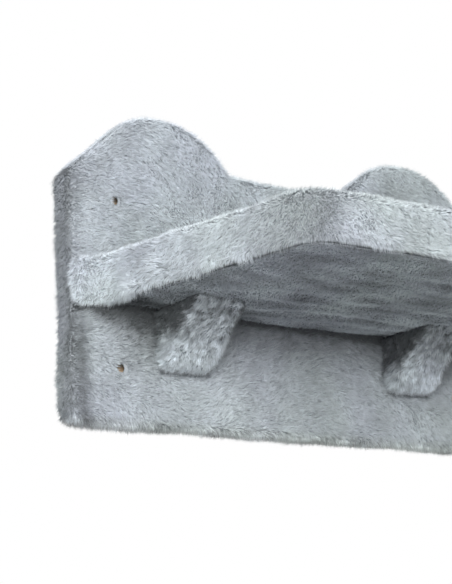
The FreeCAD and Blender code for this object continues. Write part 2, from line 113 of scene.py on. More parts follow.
@dataclass(frozen=True)
class SmoothNoise:
    """A smooth random field in space: a sum of sine waves with seeded directions and phases.

    Attributes:
        seed: Number that fixes the draw.
        wavelength: Usual distance from one crest to the next, in metres.
        stretch: Factors on X, Y and Z before the waves; a small one draws the field out.
        waves: How many waves are added up.
        spread: Least and greatest wave number, as shares of the usual one.
    """

    seed: int
    wavelength: float
    stretch: Triple = (1.0, 1.0, 1.0)
    waves: int = 20
    spread: Span = (0.7, 1.4)

    def at(self, points: np.ndarray, channels: int = 1) -> np.ndarray:
        """Field values, with a spread of about one.

        Formula: the square root of two over the number of waves, times the sum over the waves
        of the sine of the wave vector times the point, plus its phase.

        Args:
            points: Places as rows of X, Y and Z.
            channels: How many independent fields to give.

        Returns:
            One row for each point and one column for each channel.
        """
        draw = np.random.default_rng(self.seed)
        vectors = draw.normal(size=(channels, self.waves, 3))
        vectors /= np.linalg.norm(vectors, axis=2, keepdims=True)
        vectors *= 2 * np.pi / self.wavelength * draw.uniform(*self.spread, (channels, self.waves, 1))
        phases = draw.uniform(0, 2 * np.pi, (channels, self.waves))
        placed = points * np.array(self.stretch)
        angles = np.einsum("nd,cwd->ncw", placed, vectors) + phases
        return np.sin(angles).sum(axis=2) * math.sqrt(2 / self.waves)

    def value(self, points: np.ndarray) -> np.ndarray:
        """The value of a single field at each point."""
        return self.at(points)[:, 0]


def unit(vectors: np.ndarray) -> np.ndarray:
    """Rows scaled to length one."""
    return vectors / np.maximum(np.linalg.norm(vectors, axis=-1, keepdims=True), 1e-12)


def dot(first: np.ndarray, second: np.ndarray) -> np.ndarray:
    """Scalar product of matching rows, kept as a column."""
    return (first * second).sum(axis=-1, keepdims=True)


def arc(centre: tuple[float, float], radius: float, start: float, finish: float, steps: int) -> np.ndarray:
    """Points on a circle from one angle up to, and without, another.

    Args:
        centre: Middle of the circle.
        radius: Its radius.
        start: First angle in degrees.
        finish: Last angle in degrees.
        steps: How many points.

    Returns:
        Rows of two coordinates.
    """
    angles = np.radians(np.linspace(start, finish, steps, endpoint=False))
    return np.array(centre) + radius * np.column_stack([np.cos(angles), np.sin(angles)])


def line(first: tuple[float, float], last: tuple[float, float], steps: int) -> np.ndarray:
    """Evenly spaced points on a straight line, without its last point."""
    share = np.linspace(0, 1, steps, endpoint=False)[:, None]
    return np.array(first) * (1 - share) + np.array(last) * share


def quarter(steps: int) -> list[Span]:
    """Sine, and one minus cosine, at even steps of a quarter circle, without its start."""
    angles = np.radians(np.linspace(90 / steps, 90, steps))
    return [(math.sin(angle), 1 - math.cos(angle)) for angle in angles]


def rings_along(rows: list[tuple[np.ndarray, float]], axis: int) -> np.ndarray:
    """Plane outlines as rings in space, each at its own place along an axis."""
    return np.array([np.insert(flat, axis, place, axis=1) for flat, place in rows])


def bell(distance: np.ndarray, width: float | np.ndarray) -> np.ndarray:
    """One at distance zero, falling as the exponential of minus (distance over width) squared."""
    return np.exp(-((distance / width) ** 2))


def put(name: str, data: bpy.types.ID) -> bpy.types.Object:
    """A new object in the scene.

    Args:
        name: Name of the object.
        data: Its mesh, lamp or camera.

    Returns:
        The object.
    """
    thing = bpy.data.objects.new(name, data)
    bpy.context.scene.collection.objects.link(thing)
    return thing


@dataclass
class Cloth:
    """A sheet of cloth as points, quads and triangles.

    Attributes:
        points: Rows of X, Y and Z.
        quads: Rows of four point numbers.
        caps: Rows of three point numbers, where rows of quads close at a pole.
    """

    points: np.ndarray
    quads: np.ndarray
    caps: np.ndarray

    @classmethod
    def from_rings(cls, rings: np.ndarray, inside: Triple, closed: bool = True,
                   first_pole: Triple | None = None, last_pole: Triple | None = None) -> "Cloth":
        """Cloth through rings of points, turned so that it faces away from a point inside it.

        Args:
            rings: Array of rings, points and coordinates.
            inside: A point behind the cloth.
            closed: True if each ring comes back to its first point.
            first_pole: Point that closes the first ring.
            last_pole: Point that closes the last ring.

        Returns:
            The cloth.
        """
        count, around = rings.shape[:2]
        number = np.arange(count * around).reshape(count, around)
        step = np.roll(number, -1, axis=1)
        quads = np.stack([number[:-1], step[:-1], step[1:], number[1:]], axis=-1)
        used = around if closed else around - 1
        quads = quads[:, :used].reshape(-1, 4)
        points = rings.reshape(-1, 3)
        caps = []
        for ring, pole, order in ((0, first_pole, (0, 2, 1)), (count - 1, last_pole, (0, 1, 2))):
            if pole is not None:
                middle = np.full(used, len(points))
                points = np.vstack([points, pole])
                fan = np.column_stack([middle, number[ring, :used], step[ring, :used]])
                caps.append(fan[:, order])
        caps = np.vstack(caps) if caps else np.zeros((0, 3), int)
        cloth = cls(points, quads, caps)
        away = cloth.corners().mean(axis=1) - np.array(inside)
        if dot(cloth.area_vectors(), away).sum() < 0:
            cloth.quads = cloth.quads[:, ::-1]
            cloth.caps = cloth.caps[:, ::-1]
        return cloth

    def triangles(self) -> np.ndarray:
        """All faces as triangles of point numbers."""
        return np.vstack([self.quads[:, [0, 1, 2]], self.quads[:, [0, 2, 3]], self.caps])

    def corners(self) -> np.ndarray:
        """Corner points of all triangles."""
        return self.points[self.triangles()]

    def area_vectors(self) -> np.ndarray:
        """Cross product of two edges of each triangle: along its normal, as long as twice its area."""
        corners = self.corners()
        return np.cross(corners[:, 1] - corners[:, 0], corners[:, 2] - corners[:, 0])

    def normals(self) -> np.ndarray:
        """Unit vectors at the points: area vectors of the triangles there, added up.

        Returns:
            One outward row for each point.
        """
        triangles = self.triangles()
        areas = self.area_vectors()
        total = np.zeros_like(self.points)
        for corner in range(3):
            np.add.at(total, triangles[:, corner], areas)
        return unit(total)

    def waved(self, noise: SmoothNoise, height: float) -> "Cloth":
        """The cloth with a gentle wave along its normals."""
        lifted = self.points + self.normals() * noise.at(self.points) * height
        return Cloth(lifted, self.quads, self.caps)

    def area(self) -> float:
        """Area of one face of the cloth."""
        return float(np.linalg.norm(self.area_vectors(), axis=1).sum() / 2)

    def scatter(self, density: float, draw: np.random.Generator) -> tuple[np.ndarray, np.ndarray]:
        """Random places spread evenly over the cloth.

        Args:
            density: Places per square metre.
            draw: Seeded source of random numbers.

        Returns:
            The places and the outward unit vectors there.
        """
        triangles = self.triangles()
        corners = self.points[triangles]
        normals = self.normals()[triangles]
        total = np.cumsum(np.linalg.norm(self.area_vectors(), axis=1) / 2)
        count = int(total[-1] * density)
        chosen = np.searchsorted(total, draw.uniform(0, total[-1], count))
        chosen = np.minimum(chosen, len(triangles) - 1)
        one, two = draw.uniform(size=(2, count, 1))
        over = one + two > 1
        one, two = np.where(over, 1 - one, one), np.where(over, 1 - two, two)
        shares = np.stack([1 - one - two, one, two], axis=1)
        return (corners[chosen] * shares).sum(axis=1), unit((normals[chosen] * shares).sum(axis=1))

    def build(self, name: str) -> bpy.types.Object:
        """The cloth as a smooth shaded object.

        Args:
            name: Name of the object.

        Returns:
            The object, in the scene.
        """
        mesh = bpy.data.meshes.new(name)
        mesh.from_pydata(self.points.tolist(), [], self.quads.tolist() + self.caps.tolist())
        mesh.polygons.foreach_set("use_smooth", np.ones(len(mesh.polygons), bool))
        mesh.update()
        return put(name, mesh)


def settle(piece: bpy.types.Object) -> bpy.types.Object:
    """Turn a piece's modifiers into its mesh.

    Args:
        piece: Object with modifiers.

    Returns:
        The same object, with the finished mesh and no modifiers.
    """
    graph = bpy.context.evaluated_depsgraph_get()
    finished = bpy.data.meshes.new_from_object(piece.evaluated_get(graph))
    piece.modifiers.clear()
    piece.data = finished
    return piece


def thicken(piece: bpy.types.Object, thickness: float) -> bpy.types.Object:
    """Give a sheet its thickness, inwards, and settle it.

    Args:
        piece: The sheet.
        thickness: Its thickness.

    Returns:
        The same object, closed.
    """
    solidify = piece.modifiers.new("thickness", "SOLIDIFY")
    solidify.thickness = thickness
    solidify.offset = -1
    return settle(piece)


def bore(piece: bpy.types.Object, centres: list[Span], radius: float, reach: float,
         flats: int = 24) -> bpy.types.Object:
    """Cut round holes along Y through a piece.

    Args:
        piece: Closed object to cut.
        centres: X and Z of each hole.
        radius: Radius of the holes.
        reach: How far the cutters stand out on both sides of the wall's plane.
        flats: Number of flats round a hole.

    Returns:
        The same object, cut.
    """
    circle = arc((0, 0), radius, 0, 360, flats)
    rings = rings_along([(circle, -reach), (circle, reach)], 1)
    drill = Cloth.from_rings(rings, (0, 0, 0), True, (0, -reach, 0), (0, reach, 0))
    for x, z in centres:
        cutter = Cloth(drill.points + np.array([x, 0, z]), drill.quads, drill.caps).build("drill")
        modifier = piece.modifiers.new("hole", "BOOLEAN")
        modifier.operation = "DIFFERENCE"
        modifier.solver = "EXACT"
        modifier.object = cutter
        settle(piece)
        bpy.data.objects.remove(cutter)
    return piece


class Nodes:
    """A material's node tree with one principled shader, and short ways to add to it."""

    def __init__(self, name: str, roughness: float, sheen: float = 0.0, metallic: float = 0.0,
                 gloss: float = 0.3) -> None:
        """Start a material.

        Args:
            name: Name of the material.
            roughness: Roughness all over.
            sheen: Weight of the sheen.
            metallic: How metallic it is.
            gloss: Level of its reflection.
        """
        self.material = bpy.data.materials.new(name)
        self.material.use_nodes = True
        self.tree = self.material.node_tree
        self.shader = self.tree.nodes["Principled BSDF"]
        self.shader.inputs["Roughness"].default_value = roughness
        self.shader.inputs["Sheen Weight"].default_value = sheen
        self.shader.inputs["Metallic"].default_value = metallic
        self.shader.inputs["Specular IOR Level"].default_value = gloss
        self.place = self.tree.nodes.new("ShaderNodeTexCoord").outputs["Object"]

    def add(self, kind: str, **values: object) -> bpy.types.Node:
        """A new node.

        Args:
            kind: Blender's name for the kind of node.
            **values: Properties to set on it.

        Returns:
            The node.
        """
        node = self.tree.nodes.new(kind)
        for name, value in values.items():
            setattr(node, name, value)
        return node

    def join(self, source: bpy.types.NodeSocket, target: bpy.types.NodeSocket) -> None:
        """Link two sockets."""
        self.tree.links.new(source, target)

    def attribute(self, name: str) -> bpy.types.NodeSocket:
        """A value that the mesh carries at each point."""
        return self.add("ShaderNodeAttribute", attribute_name=name).outputs["Fac"]

    def noise(self, scale: float, detail: float = 2.0, stretch: Triple = WHITE) -> bpy.types.NodeSocket:
        """Noise on Object coordinates.

        Args:
            scale: Waves per metre.
            detail: How many finer layers it has.
            stretch: Factors on X, Y and Z; a small one draws the noise out along its axis.

        Returns:
            Its value.
        """
        mapping = self.add("ShaderNodeMapping")
        mapping.inputs["Scale"].default_value = stretch
        texture = self.add("ShaderNodeTexNoise")
        texture.inputs["Scale"].default_value = scale
        texture.inputs["Detail"].default_value = detail
        self.join(self.place, mapping.inputs["Vector"])
        self.join(mapping.outputs["Vector"], texture.inputs["Vector"])
        return texture.outputs["Fac"]

    def share_along(self, axis: str, span: Span) -> bpy.types.NodeSocket:
        """An Object coordinate as a share of a span.

        Args:
            axis: X, Y or Z.
            span: Where the share is zero and where it is one.

        Returns:
            The share, which runs on past both ends.
        """
        split = self.add("ShaderNodeSeparateXYZ")
        self.join(self.place, split.inputs["Vector"])
        return self.spread(split.outputs[axis], 0, 1, *span)

    def ramp(self, source: bpy.types.NodeSocket, *stops: tuple[float, Colour]) -> bpy.types.NodeSocket:
        """Colours along a value.

        Args:
            source: The value.
            *stops: Where each colour stands, and the colour, in rising order.

        Returns:
            The colour, blended between the stops.
        """
        node = self.add("ShaderNodeValToRGB")
        elements = node.color_ramp.elements
        while len(elements) < len(stops):
            elements.new(0.5)
        for element, (place, colour) in zip(elements, stops):
            element.position = place
            element.color = (*colour, 1)
        self.join(source, node.inputs["Fac"])
        return node.outputs["Color"]

    def multiply(self, colour: bpy.types.NodeSocket, *factors: bpy.types.NodeSocket) -> bpy.types.NodeSocket:
        """A colour times other colours or values.

        Args:
            colour: The first colour.
            *factors: What it is multiplied by, in order.

        Returns:
            The product.
        """
        for factor in factors:
            node = self.add("ShaderNodeMix", data_type="RGBA", blend_type="MULTIPLY")
            node.inputs["Factor"].default_value = 1
            self.join(colour, node.inputs["A"])
            self.join(factor, node.inputs["B"])
            colour = node.outputs["Result"]
        return colour

    def spread(self, value: bpy.types.NodeSocket, low: float, high: float,
               start: float = 0.0, finish: float = 1.0) -> bpy.types.NodeSocket:
        """A value carried from one range to another, without clipping.

        Args:
            value: The value.
            low: What the start becomes.
            high: What the finish becomes.
            start: Start of its own range.
            finish: End of its own range.

        Returns:
            The carried value.
        """
        node = self.add("ShaderNodeMapRange", clamp=False)
        node.inputs["From Min"].default_value = start
        node.inputs["From Max"].default_value = finish
        node.inputs["To Min"].default_value = low
        node.inputs["To Max"].default_value = high
        self.join(value, node.inputs["Value"])
        return node.outputs["Result"]

    def paint(self, colour: bpy.types.NodeSocket) -> None:
        """Set the base colour."""
        self.join(colour, self.shader.inputs["Base Color"])

    def bump(self, height: bpy.types.NodeSocket, depth: float, strength: float) -> None:
        """Raise the surface by a height field.

        Args:
            height: The field.
            depth: Its depth.
            strength: Share of the effect that is used.
        """
        node = self.add("ShaderNodeBump")
        node.inputs["Distance"].default_value = depth
        node.inputs["Strength"].default_value = strength
        self.join(height, node.inputs["Height"])
        self.join(node.outputs["Normal"], self.shader.inputs["Normal"])


@dataclass(frozen=True)
class PileFinish:
    """Finish of the tufts: dark at the root, light at the tip, mottled from tuft to tuft.

    Attributes:
        name: Name of the material.
        root: Colour at the root of a tuft.
        middle: Colour halfway up.
        tip: Colour at the tip.
        roughness: Roughness of the fibres.
        sheen: Weight of their sheen.
        gloss: Level of their reflection.
        uneven: How much lighter a tuft with a shade of one is.
        drift_scale: Waves per metre of the slow drift of tint.
        green: Where in that drift the greener tint stands, and its factors.
        blue: Where the bluer tint stands, and its factors.
        warm: Factors of the warm tint at the bottom.
        warm_below: Heights between which it fades out.
    """

    name: str
    root: Colour
    middle: Colour
    tip: Colour
    roughness: float = 0.8
    sheen: float = 0.04
    gloss: float = 0.12
    uneven: float = 0.16
    drift_scale: float = 9
    green: tuple[float, Colour] = (0.35, (0.98, 1.0, 0.985))
    blue: tuple[float, Colour] = (0.6, (0.99, 0.985, 1.03))
    warm: Colour = (1.0, 0.995, 0.935)
    warm_below: Span = (-132 * MM, -122 * MM)

    def material(self) -> bpy.types.Material:
        """Ramp along each tuft, times its own shade, a slow drift of tint and a warmer bottom.

        Returns:
            The material.
        """
        nodes = Nodes(self.name, self.roughness, self.sheen, gloss=self.gloss)
        colour = nodes.ramp(nodes.attribute("along"), (0.0, self.root), (0.5, self.middle), (1.0, self.tip))
        # The shade attribute holds each tuft's own tone and the painted light and shade set by place.
        own = nodes.spread(nodes.attribute("shade"), 1 - self.uneven, 1 + self.uneven, -1, 1)
        drift = nodes.ramp(nodes.noise(self.drift_scale), self.green, self.blue)
        warm = nodes.ramp(nodes.share_along("Z", self.warm_below), (0.0, self.warm), (1.0, WHITE))
        nodes.paint(nodes.multiply(colour, own, drift, warm))
        return nodes.material


@dataclass(frozen=True)
class BackingFinish:
    """Finish of the knitted backing: its own colour by the wall, and painted shade between the tufts.

    Attributes:
        name: Name of the material.
        dark: Colour in the hollows of the under wool.
        light: Colour on its crests.
        between: Share of the colour left away from the wall, as painted shade between the tufts.
        hem: Places along Y between which the painted shade gives way to the cloth's own colour.
        fuzz_scale: Waves per metre of the under wool.
        fuzz_depth: Its depth.
        fuzz_strength: Share of its bump that is used.
    """

    name: str
    dark: Colour
    light: Colour
    between: float
    hem: Span = (-5 * MM, -2.5 * MM)
    fuzz_scale: float = 900
    fuzz_depth: float = 0.8 * MM
    fuzz_strength: float = 0.7

    def material(self) -> bpy.types.Material:
        """Fine fuzzy noise for the short under wool and its bump, with painted shade away from the wall.

        Returns:
            The material.
        """
        nodes = Nodes(self.name, roughness=0.95, gloss=0.05)
        fuzz = nodes.noise(self.fuzz_scale, detail=3)
        colour = nodes.ramp(fuzz, (0.35, self.dark), (0.65, self.light))
        # Painted shade between the tufts, fading out on the hem by the wall.
        deep = nodes.ramp(nodes.share_along("Y", self.hem), (0.0, (self.between,) * 3), (1.0, WHITE))
        nodes.paint(nodes.multiply(colour, deep))
        nodes.bump(fuzz, self.fuzz_depth, self.fuzz_strength)
        return nodes.material


@dataclass(frozen=True)
class WoodFinish:
    """Finish of a bare board or wedge.

    Attributes:
        name: Name of the material.
        dark: Colour of the dark grain.
        light: Colour of the light grain.
        grain: Factors that draw the grain out along an axis.
        grain_scale: Waves of grain per metre.
        fibre_scale: Fibres per metre.
        fibre_shade: Factors of a dark and a light fibre.
        fibre_depth: Depth of the fibres.
    """

    name: str
    dark: Colour
    light: Colour
    grain: Triple
    grain_scale: float = 60
    fibre_scale: float = 700
    fibre_shade: Span = (0.86, 1.08)
    fibre_depth: float = 0.2 * MM

    def material(self) -> bpy.types.Material:
        """Long grain with fine fibres along it.

        Returns:
            The material.
        """
        nodes = Nodes(self.name, roughness=0.72)
        grain = nodes.noise(self.grain_scale, 4, self.grain)
        fibre = nodes.noise(self.fibre_scale, 2, self.grain)
        colour = nodes.ramp(grain, (0.3, self.dark), (0.7, self.light))
        nodes.paint(nodes.multiply(colour, nodes.spread(fibre, *self.fibre_shade)))
        nodes.bump(fibre, self.fibre_depth, strength=0.4)
        return nodes.material


@dataclass(frozen=True)
class PatchFinish:
    """Finish with a fine patchy tone, such as zinc plating or the open pores of foam.

    Attributes:
        name: Name of the material.
        dark: Where in the noise the dark tone stands, and the tone.
        light: Where the light tone stands, and the tone.
        scale: Patches per metre.
        detail: How many finer layers the patches have.
        depth: Depth of the patches.
        strength: Share of their bump that is used.
        roughness: Roughness all over.
        metallic: How metallic it is.
    """

    name: str
    dark: tuple[float, Colour]
    light: tuple[float, Colour]
    scale: float
    detail: float
    depth: float
    strength: float
    roughness: float
    metallic: float = 0.0

    def material(self) -> bpy.types.Material:
        """One noise in colour and in height.

        Returns:
            The material.
        """
        nodes = Nodes(self.name, self.roughness, metallic=self.metallic)
        patch = nodes.noise(self.scale, self.detail)
        nodes.paint(nodes.ramp(patch, self.dark, self.light))
        nodes.bump(patch, self.depth, self.strength)
        return nodes.material


@dataclass(frozen=True)
class PileStyle:
    """How the tufts of one area grow.

    Attributes:
        length: Length of a tuft.
        width: Width of a tuft at its root.
        density: Tufts per square millimetre.
        lean: Usual lean from upright, in degrees.
        spread: Spread of the lean from tuft to tuft, in degrees.
        scatter: Spread of its direction from tuft to tuft, in degrees.
        turn: Spread of the direction from one lock of tufts to the next, in degrees.
        lock: Usual distance from one lock to the next.
        gather: Share by which the tips of a lock draw together.
        lock_lean: Spread of the lean from one lock to the next, in degrees.
        steepest: Greatest lean, in degrees.
        upright: Share of the lean that a fully upright tuft loses.
        full_nap: Length of a nap along the cloth from which on a tuft leans fully.
        lengths: Least and greatest length, as shares of the usual one.
        widths: Least and greatest width, as shares of the usual one.
    """

    length: float
    width: float
    density: float
    lean: float
    spread: float
    scatter: float
    turn: float
    lock: float
    gather: float
    lock_lean: float = 7
    steepest: float = 80
    upright: float = 0.8
    full_nap: float = 0.5
    lengths: Span = (0.74, 1.14)
    widths: Span = (0.75, 1.25)


def locks(points: np.ndarray, size: float, seed: int) -> tuple[np.ndarray, np.ndarray]:
    """The lock of pile that each place belongs to.

    Space is cut into cells, each with one centre at a random place in it, and a place belongs
    to the nearest centre in its own and the neighbouring cells.

    Args:
        points: Places as rows.
        size: Width of a cell.
        seed: Number that fixes the centres.

    Returns:
        The centre for each place, and three numbers from -1 to 1 that its lock shares.
    """
    table = np.random.default_rng(seed).uniform(size=(LOCK_TABLE, 6))
    cell = np.floor(points / size).astype(np.int64)
    best = np.full(len(points), np.inf)
    centre = np.zeros_like(points)
    shared = np.zeros_like(points)
    for step in np.ndindex(3, 3, 3):
        near = cell + np.array(step) - 1
        key = np.bitwise_xor.reduce(near * np.array(CELL_PRIMES), axis=1) % LOCK_TABLE
        place = (near + table[key, :3]) * size
        distance = ((place - points) ** 2).sum(axis=1)
        closer = distance < best
        best = np.where(closer, distance, best)
        centre = np.where(closer[:, None], place, centre)
        shared = np.where(closer[:, None], table[key, 3:] * 2 - 1, shared)
    return centre, shared


@dataclass
class Pile:
    """Tufts with their roots, outward vectors and nap.

    Attributes:
        roots: Places where the tufts start.
        normals: Outward unit vectors there.
        nap: Directions that the tufts lie in.
        style: How they grow.
        stretch: Length of each tuft as a share of the style's length.
        shade: Own tone plus painted light and shade: zero leaves a tuft's colour as it is, less darkens it.
        upright: Share by which each tuft stands up more, or lies down more where it is negative.
    """

    roots: np.ndarray
    normals: np.ndarray
    nap: np.ndarray
    style: PileStyle
    stretch: np.ndarray
    shade: np.ndarray
    upright: np.ndarray

    def only(self, kept: np.ndarray) -> "Pile":
        """The tufts that are kept, given by truth values or by numbers."""
        return Pile(self.roots[kept], self.normals[kept], self.nap[kept], self.style,
                    self.stretch[kept], self.shade[kept], self.upright[kept])

    def tips(self, seed: int) -> np.ndarray:
        """Tip of each tuft.

        A tuft leans from upright towards its nap, turned about the normal by its lock's angle
        and its own, and its tip is drawn towards the middle of its lock. Where the nap points
        almost straight out of the cloth the lean fades away. No tip passes the wall, or stands
        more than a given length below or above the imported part.

        Args:
            seed: Number that fixes the draw.

        Returns:
            The tips as rows.
        """
        draw = np.random.default_rng(seed)
        column = (len(self.roots), 1)
        style = self.style
        centre, shared = locks(self.roots, style.lock, seed + 1)
        flat = self.nap - self.normals * dot(self.nap, self.normals)
        strength = np.minimum(1, np.linalg.norm(flat, axis=1, keepdims=True) / style.full_nap)
        flat = unit(flat)
        across = np.cross(self.normals, flat)
        angle = np.radians(style.turn * shared[:, :1] + style.scatter * draw.normal(size=column))
        flow = flat * np.cos(angle) + across * np.sin(angle)
        lean = style.lean * strength * (1 - style.upright * self.upright[:, None])
        lean = lean + style.lock_lean * shared[:, 1:2] + style.spread * draw.normal(size=column)
        lean = np.radians(np.clip(lean, 0, style.steepest))
        length = style.length * self.stretch[:, None] * draw.uniform(*style.lengths, column)
        pull = centre - self.roots
        pull -= self.normals * dot(pull, self.normals)
        reach = self.normals * np.cos(lean) + flow * np.sin(lean)
        tips = self.roots + length * reach + pull * style.gather
        tips[:, 1] = np.minimum(tips[:, 1], -WALL_GAP)
        tips[:, 2] = np.clip(tips[:, 2], CAD_BOX[0][2] - PROUD_BELOW, CAD_BOX[1][2] + PROUD_ABOVE)
        return tips

    def build(self, name: str, seed: int) -> bpy.types.Object:
        """One closed three sided spike for each root, as one object.

        Its map gives each tuft a cell of its own, with its sides next to each other. The mesh
        carries the place along each tuft, and the tuft's shade no further from zero than DARKEST.

        Args:
            name: Name of the piece.
            seed: Number that fixes the draw.

        Returns:
            The object.
        """
        tip = self.tips(seed)
        count = len(self.roots)
        draw = np.random.default_rng(seed + 2)
        width = self.style.width * draw.uniform(*self.style.widths, (count, 1))
        turn = draw.uniform(0, 2 * np.pi, (count, 1))
        axis = unit(tip - self.roots)
        side = unit(np.cross(self.normals, axis) + 1e-6)
        other = np.cross(axis, side)
        corners = []
        for corner in range(TUFT_SIDES):
            angle = turn + 2 * np.pi * corner / TUFT_SIDES
            corners.append(self.roots + (side * np.cos(angle) + other * np.sin(angle)) * width / 2)
        points = np.stack([*corners, tip], axis=1)
        faces, cells = tuft_template()
        number = np.arange(count)
        triangles = (number[:, None, None] * points.shape[1] + faces).reshape(-1, 3)
        columns = math.ceil(math.sqrt(count))
        cell = np.column_stack([number % columns, number // columns])[:, None, None]
        spots = ((cell + MAP_MARGIN + (1 - 2 * MAP_MARGIN) * cells) / columns).reshape(-1, 2)
        along = np.tile([0.0] * TUFT_SIDES + [1.0], count)
        shade = np.repeat(np.clip(self.shade, -DARKEST, DARKEST), points.shape[1])
        piece = triangle_object(name, points.reshape(-1, 3), triangles, spots)
        for label, values in (("along", along), ("shade", shade)):
            layer = piece.data.attributes.new(label, "FLOAT", "POINT")
            layer.data.foreach_set("value", values.astype(np.float32))
        return piece


def tuft_template() -> tuple[np.ndarray, np.ndarray]:
    """The triangles of one tuft: its foot, and then its sides.

    Returns:
        Three point numbers for each triangle, and the places of its corners in the map cell.
    """
    faces = [(2, 1, 0)]
    cells = [((0.5, 0.0), (0.3, 0.08), (0.1, 0.0))]
    low, high = 0.14, 1.0
    for corner in range(TUFT_SIDES):
        start, finish = corner / TUFT_SIDES, (corner + 1) / TUFT_SIDES
        faces.append((corner, (corner + 1) % TUFT_SIDES, TUFT_SIDES))
        cells.append(((start, low), (finish, low), ((start + finish) / 2, high)))
    return np.array(faces), np.array(cells)


def triangle_object(name: str, points: np.ndarray, triangles: np.ndarray,
                    spots: np.ndarray) -> bpy.types.Object:
    """An object of triangles with a map.

    Args:
        name: Name of the piece.
        points: Rows of X, Y and Z.
        triangles: Rows of three point numbers.
        spots: Place in the map of each triangle's corners, in order.

    Returns:
        The object, linked to the scene.
    """
    mesh = bpy.data.meshes.new(name)
    mesh.vertices.add(len(points))
    mesh.vertices.foreach_set("co", points.astype(np.float32).ravel())
    mesh.loops.add(triangles.size)
    mesh.loops.foreach_set("vertex_index", triangles.astype(np.int32).ravel())
    mesh.polygons.add(len(triangles))
    mesh.polygons.foreach_set("loop_start", np.arange(0, triangles.size, 3, dtype=np.int32))
    mesh.polygons.foreach_set("use_smooth", np.ones(len(triangles), bool))
    mesh.uv_layers.new(name=BAKE_MAP).data.foreach_set("uv", spots.astype(np.float32).ravel())
    mesh.update(calc_edges=True)
    return put(name, mesh)


def attach(piece: bpy.types.Object, material: bpy.types.Material) -> bpy.types.Object:
    """Finish a piece and let it ride on the fixed body.

    Args:
        piece: The piece.
        material: Its only material.

    Returns:
        The same piece.
    """
    piece.data.materials.clear()
    piece.data.materials.append(material)
    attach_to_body(piece, BODY)
    LOG.info("%s: %d faces", piece.name, len(piece.data.polygons))
    return piece


@dataclass(frozen=True)
class Swirl:
    """A nap: one main direction that drifts over the cloth.

    Attributes:
        main: Main direction.
        slow: How far it drifts over a hand's width.
        quick: How far it drifts over a finger's width.
        seed: Number that fixes the drift.
        hand: A hand's width.
        finger: A finger's width.
    """

    main: Triple
    slow: float
    quick: float
    seed: int
    hand: float = 150 * MM
    finger: float = 34 * MM

    def at(self, points: np.ndarray) -> np.ndarray:
        """Direction at each place: the main one, plus slow and quick smooth noise.

        Args:
            points: Places as rows.

        Returns:
            The directions as rows, of any length.
        """
        broad = SmoothNoise(self.seed, self.hand).at(points, 3)
        fine = SmoothNoise(self.seed + 1, self.finger).at(points, 3)
        return np.array(self.main) + self.slow * broad + self.quick * fine


def ramp_up(values: np.ndarray, start: float, finish: float) -> np.ndarray:
    """Smooth step: three times the share squared less twice its cube, from start to finish."""
    share = np.clip((values - start) / (finish - start), 0, 1)
    return share * share * (3 - 2 * share)


def grow(cloth: Cloth, style: PileStyle, seed: int) -> Pile:
    """Pile over a whole cloth, with a mottled shade and no nap yet.

    A tuft's shade is its own draw plus slow, middle and quick smooth noise, and its length
    drifts with one more.

    Args:
        cloth: What it grows on.
        style: How it grows.
        seed: Number that fixes the draw.

    Returns:
        The pile.
    """
    draw = np.random.default_rng(seed)
    roots, normals = cloth.scatter(style.density / SQUARE_MM, draw)
    shade = TUFT_SHADE * draw.normal(size=len(roots))
    for step, (wavelength, depth) in enumerate(MOTTLING):
        shade = shade + depth * SmoothNoise(seed + 5 + 2 * step, wavelength).value(roots)
    stretch = 1 + LENGTH_DRIFT * SmoothNoise(seed + 6, LENGTH_WAVE).value(roots)
    return Pile(roots, normals, np.zeros_like(roots), style, stretch, shade, np.zeros(len(roots)))


def build_piles(name: str, pile: Pile, seed: int, finish: bpy.types.Material) -> list[bpy.types.Object]:
    """Build a pile as one or more pieces, cut into bands along X.

    Args:
        name: First part of the pieces' names.
        pile: The tufts.
        seed: Number that fixes the draw.
        finish: Material of the tufts.

    Returns:
        The pieces.
    """
    bands = max(1, math.ceil(len(pile.roots) / MOST_TUFTS))
    order = np.argsort(pile.roots[:, 0], kind="stable")
    pieces = []
    for band, chosen in enumerate(np.array_split(order, bands)):
        label = name if bands == 1 else f"{name}_{band + 1}"
        piece = pile.only(chosen).build(label, seed + BAND_SEEDS * band)
        pieces.append(attach(piece, finish))
    return pieces


